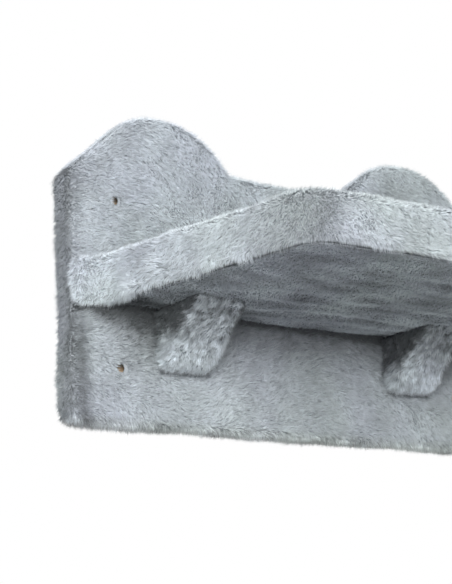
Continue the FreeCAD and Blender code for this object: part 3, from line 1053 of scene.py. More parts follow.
@dataclass
class BackCover:
    """The plush round the wall board with its two humps."""

    low: Vector
    high: Vector
    hump_offset: float = 150 * MM
    hump_radius: float = 80.5 * MM
    valley_rise: float = 107 * MM
    slope: float = 43.5
    corner_radius: float = 3 * MM
    shoulder_radius: float = 6 * MM
    valley_radius: float = 18 * MM
    least_radius: float = 3 * MM
    hump_drift: float = 5.5 * MM
    hump_rise: float = 3.5 * MM
    flare: float = 0.009
    skin_lift: float = 12 * MM
    skin_round: float = 5 * MM
    bottom_ease: float = 1.5 * MM
    front_lift: float = 10.5 * MM
    rear_ease: float = 4 * MM
    cloth: float = 1.6 * MM
    hem: float = 3 * MM
    hem_rise: float = 0.8
    hem_width: float = 45 * MM
    hole_radius: float = 4 * MM
    hole_across: float = 200 * MM
    hole_up: float = 78 * MM
    star_drop: float = 20 * MM
    face_rings: int = 24
    edge_share: float = 0.75
    whorl: Span = (143 * MM, 133 * MM)
    style: PileStyle = PileStyle(6.8 * MM, 0.55 * MM, 1.6, 50, 12, 17, 20, 3.6 * MM, 0.14)

    def ring(self, swell: float) -> np.ndarray:
        """The outline of the board grown by a length, counter-clockwise from the bottom's middle.

        Each convex arc's radius grows with the outline and each concave one's shrinks, and the
        straight lines stay tangent to them. The left half mirrors the right. Then the humps rise
        a little and drift to the right with their height, and the board widens towards its foot.

        Args:
            swell: How far to grow it; negative shrinks it.

        Returns:
            Rows of X and Z.
        """
        half = self.high.x + swell
        bottom = self.low.z - swell + self.bottom_ease
        crest = self.valley_rise + swell
        radius = self.hump_radius + swell
        middle = self.high.z - self.hump_radius
        corner = max(self.corner_radius + swell, self.least_radius)
        shoulder = max(self.shoulder_radius + swell, self.least_radius)
        valley = self.valley_radius - swell
        tilt = math.radians(self.slope)
        face = 90 - self.slope
        shoulder_x = half - shoulder
        run = radius - shoulder - math.sin(tilt) * (shoulder_x - self.hump_offset)
        shoulder_z = middle + run / math.cos(tilt)
        climb = crest + valley - middle
        inner_x = self.hump_offset - math.sqrt((radius + valley) ** 2 - climb ** 2)
        leave = math.degrees(math.atan2(climb, inner_x - self.hump_offset))
        hump = arc((self.hump_offset, middle), radius, face, leave, 30)
        last = np.array([shoulder_x, shoulder_z]) + shoulder * np.array([math.sin(tilt), math.cos(tilt)])
        right = np.vstack([
            line((0, bottom), (half - corner, bottom), 26),
            arc((half - corner, bottom + corner), corner, -90, 0, 8),
            line((half, bottom + corner), (half, shoulder_z), 22),
            arc((shoulder_x, shoulder_z), shoulder, 0, face, 7),
            line(tuple(last), tuple(hump[0]), 7),
            hump,
            arc((inner_x, crest + valley), valley, leave - 180, -90, 6),
            line((inner_x, crest), (0, crest), 12),
        ])
        left = right[1:][::-1] * np.array([-1, 1])
        whole = np.vstack([right, [[0, crest]], left])
        across, up = whole.T
        drift = self.hump_drift * ramp_up(up, 85 * MM, 150 * MM)
        drift = drift + self.flare * across * ramp_up(-up, 20 * MM, 90 * MM)
        lift = self.hump_rise * ramp_up(up, 120 * MM, 165 * MM)
        return whole + np.column_stack([drift, lift])

    def sheet(self) -> Cloth:
        """Cloth from the middle of the front, round the edge, to the hem on the wall side.

        The front is the outline shrunk in even steps towards one point that sees all of it. The
        edge is a quarter circle, a straight side and another quarter circle.

        Returns:
            The cloth.
        """
        front = self.low.y - self.front_lift
        inner = self.skin_lift - self.skin_round
        rear = self.skin_lift - self.rear_ease
        star = np.array([0, -self.star_drop])
        face = self.ring(inner)
        rows = []
        for share in np.linspace(0, 1, self.face_rings + 1)[1:]:
            rows.append((star + (face - star) * share, front))
        for sine, dip in quarter(5):
            rows.append((self.ring(inner + self.skin_round * sine), front + self.skin_round * dip))
        first, last = front + self.skin_round, -self.hem
        for share in (0.34, 0.67, 1.0):
            drawn_in = self.skin_lift - self.rear_ease * share ** 2
            rows.append((self.ring(drawn_in), first + (last - first) * share))
        for sine, dip in quarter(3):
            rows.append((self.ring(rear - self.hem * dip), -self.hem + self.hem_rise * self.hem * sine))
        start = rear - self.hem
        for share in (0.3, 0.65, 1.0):
            flat = self.ring(start + (-self.hem_width - start) * share)
            rows.append((flat, -(1 - self.hem_rise) * self.hem))
        inside = (0, -self.hem, -self.star_drop)
        return Cloth.from_rings(rings_along(rows, 1), inside, True, (0, front, -self.star_drop))

    def holes(self) -> list[Span]:
        """X and Z of the four wall holes."""
        return [(x * self.hole_across, z * self.hole_up) for x in (-1, 1) for z in (-1, 1)]

    def flat_cut(self) -> tuple[float, float, float]:
        """The flat cloth: the outline grown by what wraps round it.

        Returns:
            Its width, its height and its area.
        """
        wrap = (self.high.y - self.low.y) + 2 * self.hem + self.hem_width
        cut = self.ring(0)
        x, z = cut.T
        area = abs(float((x * np.roll(z, -1) - np.roll(x, -1) * z).sum())) / 2
        around = float(np.linalg.norm(np.roll(cut, -1, axis=0) - cut, axis=1).sum())
        return 2 * (self.high.x + wrap), self.high.z - self.low.z + 2 * wrap, area + around * wrap

    def clear(self, roots: np.ndarray, shelf: "ShelfCover", brackets: list["BracketCover"]) -> np.ndarray:
        """Which roots aren't in a hole, under the shelf or tabs, behind a bracket or in the hem.

        Args:
            roots: Places as rows.
            shelf: The shelf's cover, which hides a band of the board.
            brackets: The brackets' covers, which hide a patch each.

        Returns:
            True for each root that is kept.
        """
        x, y, z = roots.T
        kept = y < -1.2 * MM
        for across, up in self.holes():
            kept &= np.hypot(x - across, z - up) > self.hole_radius + (1.3 if up > 0 else 2.6) * MM
        front = y < self.low.y
        behind = (np.abs(x) < shelf.tab_end - 5 * MM) & (z > shelf.bottom + 3 * MM)
        kept &= ~(front & behind & (z < shelf.tab_top - 3 * MM))
        for bracket in brackets:
            beside = np.abs(x - bracket.centre) < bracket.half - 2 * MM
            kept &= ~(front & beside & (z > bracket.bottom + 3 * MM) & (z < shelf.bottom + 4 * MM))
        return kept

    def painted_shadow(self, roots: np.ndarray, shelf: "ShelfCover", brackets: list["BracketCover"]) -> np.ndarray:
        """How much painted shadow darkens the pile, under the shelf and its tabs and round the brackets.

        Under the shelf it is the sum of a wide bell, which reaches further down away from the
        ends of the tabs and outside the brackets, and a narrow one along the edge. Beside each
        bracket and in the crease under its toe it is at least one more bell.

        Args:
            roots: Places as rows.
            shelf: What casts the painted shadow from above.
            brackets: What cast it from the side.

        Returns:
            How much darker each tuft is.
        """
        # Strengths and reaches of the painted shadow.
        band_depth, outer_depth, line_depth, side_depth, crease_depth = 3.2, 2.4, 2.4, 3.6, 4.6
        line_reach, band_reach, outer_reach, side_reach = 6 * MM, 24 * MM, 8 * MM, 8 * MM
        x, _, z = roots.T
        below = np.minimum(z - (shelf.tab_level - shelf.tab_half), 0)
        inward = ramp_up(-np.abs(x), -shelf.tab_end, -shelf.tab_end + 85 * MM)
        outside = ramp_up(np.abs(x), 150 * MM, 170 * MM)
        reach = line_reach + (band_reach + outer_reach * outside) * inward
        amount = (band_depth + outer_depth * outside) * bell(below, reach)
        amount = (amount + line_depth * bell(below, line_reach)) * (z < shelf.bottom)
        for bracket in brackets:
            beside = np.maximum(np.abs(x - bracket.centre) - bracket.half, 0)
            tall = ramp_up(z, bracket.bottom - 8 * MM, bracket.bottom + 20 * MM) * (z < shelf.bottom)
            crease = bell(z - bracket.bottom + 3 * MM, 4 * MM) * bell(beside, 3 * MM)
            amount = np.maximum(amount, side_depth * bell(beside, side_reach) * tall)
            amount = np.maximum(amount, crease_depth * crease)
        return amount

    def face_nap(self, roots: np.ndarray, flank: np.ndarray) -> np.ndarray:
        """Nap on the face, from a slant in degrees up from X.

        Above the shelf the slant turns over the left hump, back in the middle and on the hump's
        outer slope. Below the shelf it turns with height in the left corner, and the other way
        to the right. Slow and quick smooth noise are added.

        Args:
            roots: Places as rows.
            flank: How far each one lies on the outer slope of the left hump.

        Returns:
            Unit vectors in the plane of the face, as rows.
        """
        x, _, z = roots.T
        upper = -25 - 85 * ramp_up(x, -215 * MM, -95 * MM) + 40 * ramp_up(x, -60 * MM, 60 * MM)
        upper = upper + 45 * flank
        fan = -50 + 75 * ramp_up(z, -112 * MM, -35 * MM)
        plain = 22 - 75 * ramp_up(x, -40 * MM, 90 * MM)
        lower = fan + (plain - fan) * ramp_up(x, -150 * MM, -105 * MM)
        slant = lower + (upper - lower) * ramp_up(z, -25 * MM, 45 * MM)
        slant = slant + 14 * SmoothNoise(61, 70 * MM).value(roots)
        slant = np.radians(slant + 14 * SmoothNoise(62, 22 * MM).value(roots))
        return np.column_stack([np.cos(slant), np.zeros(len(x)), np.sin(slant)])

    def brushed(self, pile: Pile, painted_shadow: np.ndarray) -> Pile:
        """Set the nap, the stand, the length and the shade by place, and open the pile at the holes.

        The face's nap blends round the edge into one that runs down, and under the lower edge
        into one that runs across. Painted shade darkens the folds of both ends and the band
        beside them, the upper edge, the face low down under the shelf and the pile round the
        holes, and painted shadow darkens the rear of the lower edge against the wall and the pile
        under the shelf and beside the brackets. The shade is also darker on the left hump's
        outer slope, in the whorl of the right hump and at the lower brim.

        Args:
            pile: Pile over the whole cloth.
            painted_shadow: How much painted shadow darkens each tuft.

        Returns:
            The same pile, brushed.
        """
        x, y, z = pile.roots.T
        face = ramp_up(-pile.normals[:, 1], 0.25, 0.9)
        flank = ramp_up(z - 0.95 * (x + self.high.x), 62 * MM, 90 * MM) * ramp_up(-x, 150 * MM, 190 * MM)
        low = ramp_up(-pile.normals[:, 2], 0.4, 0.9)
        down, across = np.array([0.1, -0.35, -0.9]), np.array([0.25, 0.95, 0.0])
        side = down * (1 - low[:, None]) + across * low[:, None]
        pile.nap = self.face_nap(pile.roots, flank) * face[:, None] + side * (1 - face[:, None])
        pile.nap = pile.nap + 0.12 * SmoothNoise(63, 30 * MM).at(pile.roots, 3)
        corner = 4 * face * (1 - face)
        top = ramp_up(pile.normals[:, 2], 0.1, 0.5)
        fold = ramp_up(np.abs(pile.normals[:, 0]), 0.7, 0.8) * (1 - 0.6 * face)
        lowered = ramp_up(-z, 20 * MM, 70 * MM)
        border = ramp_up(np.abs(x) + 4 * MM * lowered, self.high.x - 4 * MM, self.high.x + 10 * MM)
        rear = ramp_up(y, -17 * MM, -9 * MM)
        forward = ramp_up(-y, 14 * MM, 36 * MM) * (0.35 + 0.65 * ramp_up(-z, 20 * MM, 80 * MM))
        brim = corner * ramp_up(-pile.normals[:, 2], 0.1, 0.4)
        whorl = bell(np.hypot(x - self.whorl[0], z - self.whorl[1]), 15 * MM) * face
        pile.upright = 0.15 * top * corner - 0.3 * top * (1 - face) + 0.35 * low
        pile.stretch = pile.stretch * (1 + 0.1 * corner - 0.15 * top * (1 - face) + 0.2 * low + 0.5 * brim)
        # Painted shade on the side folds, the band beside them, the upper edge and low on the face.
        fold_dark = 3.0 - 0.4 * lowered + 1.0 * forward
        border_dark = 1.9 + 1.3 * lowered
        foot_dark = 0.5 * ramp_up(-z, 10 * MM, 40 * MM)
        # The underside is a little lighter, with painted shadow at its rear against the wall.
        underside_and_wall_shadow = 0.2 - 4.4 * rear
        # The pile under the shelf and beside the brackets also takes painted shadow.
        pile.shade = pile.shade * (1 + 3.2 * np.maximum(low, brim)) - fold_dark * fold
        pile.shade = pile.shade - 1.3 * top * (1 - face) - painted_shadow * face
        pile.shade = pile.shade - border_dark * border * face
        pile.shade = pile.shade - foot_dark * face - (0.9 * flank + 1.8 * whorl) * face
        pile.shade = pile.shade + underside_and_wall_shadow * low - 0.5 * brim
        # Round each hole the pile parts, and painted shade darkens it.
        for hole_x, hole_z in self.holes():
            away = np.column_stack([x - hole_x, np.zeros(len(x)), z - hole_z])
            near = bell(np.hypot(x - hole_x, z - hole_z), 7.5 * MM) * face
            pile.nap = pile.nap + (near * np.where(z > hole_z, -0.3, 0.7))[:, None] * unit(away)
            pile.shade = pile.shade - 1.4 * near
        return pile

    def dress(self, shelf: "ShelfCover", brackets: list["BracketCover"], backing: bpy.types.Material,
              tufts: bpy.types.Material) -> None:
        """Build the sheet and its pile.

        Args:
            shelf: The shelf's cover, which hides a band of the board.
            brackets: The brackets' covers, which hide a patch each.
            backing: Material of the sheet.
            tufts: Material of the pile.
        """
        cloth = self.sheet().waved(SmoothNoise(31, 90 * MM), 0.5 * MM)
        cloth.points[:, 1] = np.minimum(cloth.points[:, 1], -WALL_GAP)
        piece = thicken(cloth.build("back_plush_sheet"), self.cloth)
        attach(bore(piece, self.holes(), self.hole_radius, 60 * MM), backing)
        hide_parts("back_plush_cover")
        pile = grow(cloth, self.style, 101)
        thinned = np.random.default_rng(102).uniform(size=len(pile.roots)) < self.edge_share
        kept = self.clear(pile.roots, shelf, brackets) & (thinned | (pile.normals[:, 1] < -0.6))
        kept &= pile.normals[:, 1] < 0.5
        pile = pile.only(kept)
        pile = self.brushed(pile, self.painted_shadow(pile.roots, shelf, brackets))
        pieces = build_piles("back_pile", pile, 151, tufts)


@dataclass
class ShelfCover:
    """The plush over the shelf board and its pad, with the rim and a tab at each end."""

    low: Vector
    high: Vector
    pad_high: Vector
    wall_face: float
    taper: float = 51 * MM
    corner_radius: float = 27 * MM
    skin_lift: float = 10.5 * MM
    skin_round: float = 9 * MM
    lower_round: float = 4 * MM
    cloth: float = 1.6 * MM
    hem_width: float = 26 * MM
    lining_drop: float = 6 * MM
    crown: float = 2 * MM
    tab_level: float = -2 * MM
    tab_half: float = 20.5 * MM
    tab_end: float = 250.5 * MM
    tab_depth: float = 6 * MM
    tab_fillet: float = 18 * MM
    tab_round: float = 12 * MM
    tab_run_on: float = 14 * MM
    top_share: float = 0.62
    style: PileStyle = PileStyle(6.8 * MM, 0.55 * MM, 1.6, 50, 12, 17, 20, 3.6 * MM, 0.16)

    @property
    def back_half(self) -> float:
        """Half the width of the shelf board at the back board."""
        return self.high.x

    @property
    def depth(self) -> float:
        """Shelf board from the back board's front to its own front edge."""
        return self.high.y - self.low.y

    @property
    def top(self) -> float:
        """Level of the sheet over the pad."""
        return self.pad_high.z + self.skin_lift

    @property
    def bottom(self) -> float:
        """Level of the lower edge of the rim."""
        return self.low.z - self.lining_drop + 2.5 * MM

    @property
    def slope(self) -> float:
        """How far a side draws in for each metre out from the wall."""
        return self.taper / self.depth

    @property
    def tab_top(self) -> float:
        """Level of the upper edge of the tabs."""
        return self.tab_level + self.tab_half

    def plan(self, swell: float) -> np.ndarray:
        """The shelf's sides and front grown by a length, from the left rear end to the right one.

        The sides draw in towards the front, and each front corner is an arc about a fixed centre.

        Args:
            swell: How far to grow it.

        Returns:
            Rows of X and Y.
        """
        tilt = math.atan(self.slope)
        reach = self.depth - self.corner_radius
        centre_x = -self.back_half + (self.corner_radius + math.sin(tilt) * reach) / math.cos(tilt)
        radius = self.corner_radius + swell
        rear = np.array([-self.back_half, 0]) + swell * np.array([-math.cos(tilt), math.sin(tilt)])
        start = np.array([centre_x, reach]) + radius * np.array([-math.cos(tilt), math.sin(tilt)])
        left = np.vstack([
            line(tuple(rear), tuple(start), 26),
            arc((centre_x, reach), radius, 180 - math.degrees(tilt), 90, 10),
            line((centre_x, reach + radius), (0, reach + radius), 18),
        ])
        right = left[::-1] * np.array([-1, 1])
        whole = np.vstack([left, [[0, reach + radius]], right])
        return np.column_stack([whole[:, 0], self.high.y - whole[:, 1]])

    def sheet(self) -> Cloth:
        """Cloth from the middle of the rear edge, over the top and the rim, to the hem below.

        The top is the plan shrunk in even steps towards the middle of the rear edge, with a
        slight crown. The rim is a quarter circle, a straight side and a smaller quarter circle.

        Returns:
            The cloth.
        """
        inner = self.skin_lift - self.skin_round
        star = np.array([0, self.high.y])
        outline = self.plan(inner)
        rows = []
        for share in np.linspace(0, 1, 21)[1:]:
            rows.append((star + (outline - star) * share, self.top + self.crown * (1 - share ** 2)))
        for sine, dip in quarter(5):
            rows.append((self.plan(inner + self.skin_round * sine), self.top - self.skin_round * dip))
        first, last = self.top - self.skin_round, self.bottom + self.lower_round
        for share in np.linspace(0, 1, 8)[1:]:
            rows.append((self.plan(self.skin_lift), first + (last - first) * share))
        for sine, dip in quarter(3):
            rows.append((self.plan(self.skin_lift - self.lower_round * dip), last - self.lower_round * sine))
        start = self.skin_lift - self.lower_round
        hem_rise = 1.5 * MM
        for share in (0.4, 1.0):
            flat = self.plan(start + (-self.hem_width - start) * share)
            rows.append((flat, self.bottom + hem_rise * share))
        inside = (0, self.high.y - self.depth / 2, self.low.z)
        return Cloth.from_rings(rings_along(rows, 2), inside, False, (0, self.high.y, self.top + self.crown))

    def tab_path(self) -> np.ndarray:
        """Plan of the right tab's face, from the end of the wall board round into the rim.

        It turns round the board's end by a quarter circle, runs along the board, and bends by an
        arc of the fillet's radius that touches both the board and the side of the shelf.

        Returns:
            Rows of X and Y.
        """
        tilt = math.atan(self.slope)
        face = self.wall_face - self.tab_depth
        swell = self.skin_lift + self.tab_fillet
        out = self.high.y - (face - self.tab_fillet)
        bend = (self.back_half + swell / math.cos(tilt) - self.slope * out, face - self.tab_fillet)
        small = self.tab_depth - 1 * MM
        turned = 180 - math.degrees(tilt)
        curve = arc(bend, self.tab_fillet, 90, turned, 14)
        last = np.array(bend) + self.tab_fillet * np.array([-math.cos(tilt), math.sin(tilt)])
        onward = last + self.tab_run_on * np.array([-math.sin(tilt), -math.cos(tilt)])
        onward -= 2 * MM * np.array([math.cos(tilt), -math.sin(tilt)])
        return np.vstack([
            arc((self.tab_end - small, face + small), small, 0, -90, 7),
            line((self.tab_end - small, face), tuple(curve[0]), 12),
            curve,
            line(tuple(last), tuple(onward), 6),
        ])

    def tab(self, side: Side) -> Cloth:
        """A padded band that carries the rim on along the back board.

        A profile is carried along the tab's path. Its height goes from the tab's to the rim's,
        with a rounded end, and it stands forward by the root of one minus the fourth power of
        the share of its half height.

        Args:
            side: Which end of the shelf.

        Returns:
            The cloth.
        """
        path = self.tab_path()
        ahead = unit(np.gradient(path, axis=0))
        outward = np.column_stack([-ahead[:, 1], ahead[:, 0]])
        steps = np.linalg.norm(np.diff(path, axis=0), axis=1)
        run = np.concatenate([[0], np.cumsum(steps)])
        share = ramp_up(run, 0.2 * run[-1], 0.9 * run[-1])
        rim_level, rim_half = (self.top + self.bottom) / 2, (self.top - self.bottom) / 2
        level = self.tab_level + (rim_level - self.tab_level) * share
        half = self.tab_half + (rim_half - self.tab_half) * share
        ended = np.clip(1 - run / self.tab_round, 0, 1)
        half = half - 8 * MM * (1 - np.sqrt(1 - ended ** 2))
        high = np.concatenate([[-1], np.sin(np.radians(np.linspace(-90, 90, 17))), [1]])
        back = 1 - np.sqrt(1 - np.minimum(high ** 4, 1))
        back[[0, -1]] = 1.7
        shift = self.tab_depth * back
        flat = path[:, None] - outward[:, None] * shift[None, :, None]
        tall = level[:, None] + half[:, None] * high
        rows = np.dstack([flat * np.array([side.value, 1]), tall])
        inside = (side.value * (self.back_half + 10 * MM), self.high.y, self.tab_level)
        return Cloth.from_rings(rows, inside, False)

    def brushed(self, pile: Pile) -> Pile:
        """Set the nap, the stand, the length and the shade by place.

        The top lies towards the front. The sides lie down and back to the wall, the front down
        and across, and at the two front corners, where these part, the pile stands up and painted
        shade darkens it. The lower edge ends in a light and ragged fringe, weaker at the left.
        Painted light lightens all of the pile, and painted shade darkens the front. The crest
        where the rim turns into the top is darkened by painted shade, and the seat is lightened by
        painted light and lies flat.

        Args:
            pile: Pile over the whole cloth.

        Returns:
            The same pile, brushed.
        """
        x, y, z = pile.roots.T
        over = ramp_up(pile.normals[:, 2], 0.3, 0.9)
        front = ramp_up(-y, -self.low.y - 70 * MM, -self.low.y - 10 * MM)
        level = np.column_stack([0.5 * front, 0.55 * (1 - front), np.full(len(x), -0.8)])
        tab = ramp_up(np.abs(x), self.back_half, self.back_half + 20 * MM)[:, None]
        level = level + tab * np.column_stack([0.45 * np.sign(x), np.zeros((len(x), 2))])
        pile.nap = level * (1 - over[:, None]) + np.array([0.2, -0.9, 0.0]) * over[:, None]
        pile.nap = pile.nap + 0.3 * SmoothNoise(211, 90 * MM).at(pile.roots, 3)
        pile.nap = pile.nap + 0.22 * SmoothNoise(212, 28 * MM).at(pile.roots, 3)
        edge = 4 * over * (1 - over)
        corner_x = self.back_half - self.taper
        corner = bell(np.abs(x) - corner_x, 26 * MM) * (y < self.low.y + 60 * MM)
        corner = corner * (1 - 0.6 * over)
        hanging = 0.25 + 0.75 * ramp_up(x, -130 * MM, 10 * MM)
        fringe = ramp_up(-z, -self.bottom - 9 * MM, -self.bottom) * hanging
        seat = ramp_up(pile.normals[:, 2], 0.965, 0.995)
        crest = ramp_up(pile.normals[:, 2], 0.45, 0.8) * (1 - seat)
        pile.upright = 0.25 * corner + 0.2 * edge + 0.5 * fringe - 0.6 * seat
        ragged = np.clip(SmoothNoise(213, 11 * MM).value(pile.roots), -1, 1.2)
        # Painted light all over and on the seat; painted shade on the front, at the front corners and on the
        # crest; a lighter fringe.
        pile.shade = pile.shade + 0.6 - 0.9 * front - 1.9 * corner + 0.7 * fringe + 1.5 * seat - 2.5 * crest
        pile.stretch = pile.stretch * (1 - 0.2 * over + (0.35 + 0.35 * ragged) * fringe)
        return pile

    def flat_cut(self) -> tuple[float, float]:
        """Width and length of the flat cloth: the board grown by rim and hem at three sides."""
        rim = self.top - self.bottom + self.hem_width + self.skin_lift
        return 2 * (self.back_half + rim), self.depth + rim

    def dress(self, backing: bpy.types.Material, tufts: bpy.types.Material) -> None:
        """Build the sheet, the tabs and their pile.

        Args:
            backing: Material of the sheets.
            tufts: Material of the pile.
        """
        cloth = self.sheet().waved(SmoothNoise(41, 80 * MM), 0.7 * MM)
        piece = attach(thicken(cloth.build("shelf_plush_sheet"), self.cloth), backing)
        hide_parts("shelf_plush_cover")
        pile = grow(cloth, self.style, 201)
        y, up = pile.roots[:, 1], pile.normals[:, 2]
        thinned = np.random.default_rng(202).uniform(size=len(y)) < self.top_share
        covered = (up < 0.5) & (y > self.wall_face - self.tab_depth - 0.7 * self.tab_fillet)
        kept = (y < self.wall_face) & (up > -0.93) & ~covered & (thinned | (up < 0.75))
        pieces = build_piles("shelf_pile", self.brushed(pile.only(kept)), 251, tufts)
        for side in Side:
            self.dress_tab(side, backing, tufts)

    def dress_tab(self, side: Side, backing: bpy.types.Material, tufts: bpy.types.Material) -> None:
        """Build one tab and its pile.

        Args:
            side: Which end of the shelf.
            backing: Material of the sheet.
            tufts: Material of the pile.
        """
        strip = self.tab(side)
        tab = thicken(strip.build(f"shelf_tab_sheet_{side.label}"), self.cloth)
        attach(tab, backing)
        pile = grow(strip, self.style, 301)
        pile = self.brushed(pile.only(pile.roots[:, 1] < self.wall_face + 1 * MM))
        tufted = build_piles(f"shelf_tab_pile_{side.label}", pile, 311, tufts)
        tall = 2 * (self.tab_half + self.tab_depth)
        strip.area() / tall

    def closed_plan(self, swell: float, rear: float) -> np.ndarray:
        """The shelf's plan as a closed ring, cut off straight in front of the back board.

        Args:
            swell: How far to grow it.
            rear: Distance of the cut from the back board's front.

        Returns:
            Rows of X and Y.
        """
        flat = self.plan(swell)
        flat[:, 1] = np.minimum(flat[:, 1], self.high.y - rear)
        back = line((flat[-1, 0], flat[-1, 1]), (flat[0, 0], flat[0, 1]), 24)
        return np.vstack([flat[:-1], back])

    def pad(self, foam: bpy.types.Material) -> None:
        """Build the crowned foam pad between the shelf board and the plush.

        Args:
            foam: Its material.
        """
        rows = []
        star = np.array([0, self.high.y - self.depth / 2])
        rear = self.high.y - self.wall_face + 1 * MM
        thick = self.pad_high.z - self.high.z
        for share in (0.3, 0.65, 1.0):
            rows.append((star + (self.closed_plan(-2 * MM, rear) - star) * share, self.high.z + 0.2 * MM))
        for angle in np.radians([0, 30, 60, 90]):
            rows.append((self.closed_plan(-5 * MM + 3 * MM * math.cos(angle), rear),
                         self.high.z + 4 * MM + (thick - 5.5 * MM) * math.sin(angle)))
        for share in (0.75, 0.5, 0.25):
            flat = star + (self.closed_plan(-5 * MM, rear) - star) * share
            rows.append((flat, self.high.z + thick - 1.5 * MM + 1.2 * MM * (1 - share ** 2)))
        low = (0, star[1], self.high.z + 0.2 * MM)
        high = (0, star[1], self.high.z + thick - 0.3 * MM)
        inside = (0, star[1], self.high.z + thick / 2)
        piece = Cloth.from_rings(rings_along(rows, 2), inside, True, low, high).build("shelf_foam_pad")
        attach(piece, foam)
        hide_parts("shelf_pad")


@dataclass
class Lining:
    """The short napped lining that hangs slightly under the shelf."""

    shelf: ShelfCover
    sag: float = 5.5 * MM
    wrinkle: float = 0.9 * MM
    inset: float = -1 * MM
    gap: float = 1.2 * MM
    cloth: float = 1.2 * MM
    style: PileStyle = PileStyle(4 * MM, 0.8 * MM, 0.75, 55, 12, 26, 30, 4 * MM, 0.2)
    nap: Swirl = Swirl((-0.9, 0.2, 0.0), 0.3, 0.3, 91)

    def sheet(self) -> Cloth:
        """Cloth over the shelf's plan, hanging by a product of two flat bowls, with long folds.

        A bowl is one minus the fourth power of the share of the half width or half depth.

        Returns:
            The cloth.
        """
        shelf = self.shelf
        middle = shelf.high.y - shelf.depth / 2
        star = np.array([0, middle])
        outline = shelf.closed_plan(self.inset, shelf.high.y - shelf.wall_face - 4 * MM)
        rows = np.array([star + (outline - star) * share for share in np.linspace(0, 1, 31)[1:]])
        half = shelf.back_half + self.inset - shelf.slope * (shelf.high.y - rows[..., 1])
        across = np.clip(rows[..., 0] / half, -1, 1)
        deep = np.clip((rows[..., 1] - middle) / (shelf.depth / 2), -1, 1)
        hang = (1 - across ** 4) * (1 - deep ** 4)
        flat = np.dstack([rows, np.zeros(rows.shape[:2])]).reshape(-1, 3)
        folds = SmoothNoise(51, 26 * MM, (0.3, 1.0, 1.0)).value(flat).reshape(across.shape)
        edge = shelf.bottom - self.gap
        level = edge - self.sag * hang + self.wrinkle * folds * np.sqrt(hang)
        inside = (0, middle, shelf.high.z)
        return Cloth.from_rings(np.dstack([rows, level]), inside, True, (0, middle, edge - self.sag))

    def dress(self, backing: bpy.types.Material, tufts: bpy.types.Material) -> None:
        """Build the lining and its short nap, streaked, with painted shade in its two rear corners.

        Args:
            backing: Material of the sheet.
            tufts: Material of the nap.
        """
        cloth = self.sheet()
        piece = attach(thicken(cloth.build("shelf_lining"), self.cloth), backing)
        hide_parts("shelf_underside_lining")
        pile = grow(cloth, self.style, 401)
        pile.nap = self.nap.at(pile.roots)
        pile = pile.only(pile.roots[:, 1] < self.shelf.wall_face)
        x, y, _ = pile.roots.T
        streaks = SmoothNoise(53, 24 * MM, (0.35, 1.0, 1.0)).value(pile.roots)
        # Painted shade in the two rear corners, beyond the brackets.
        corner = ramp_up(y, -110 * MM, -50 * MM) * ramp_up(np.abs(x), 150 * MM, 200 * MM)
        pile.shade = pile.shade + 0.9 * streaks - 3.0 * corner
        pieces = build_piles("lining_nap", pile, 411, tufts)
        flat = (2 * self.shelf.back_half, self.shelf.depth)
        min(cloth.area(), flat[0] * flat[1])


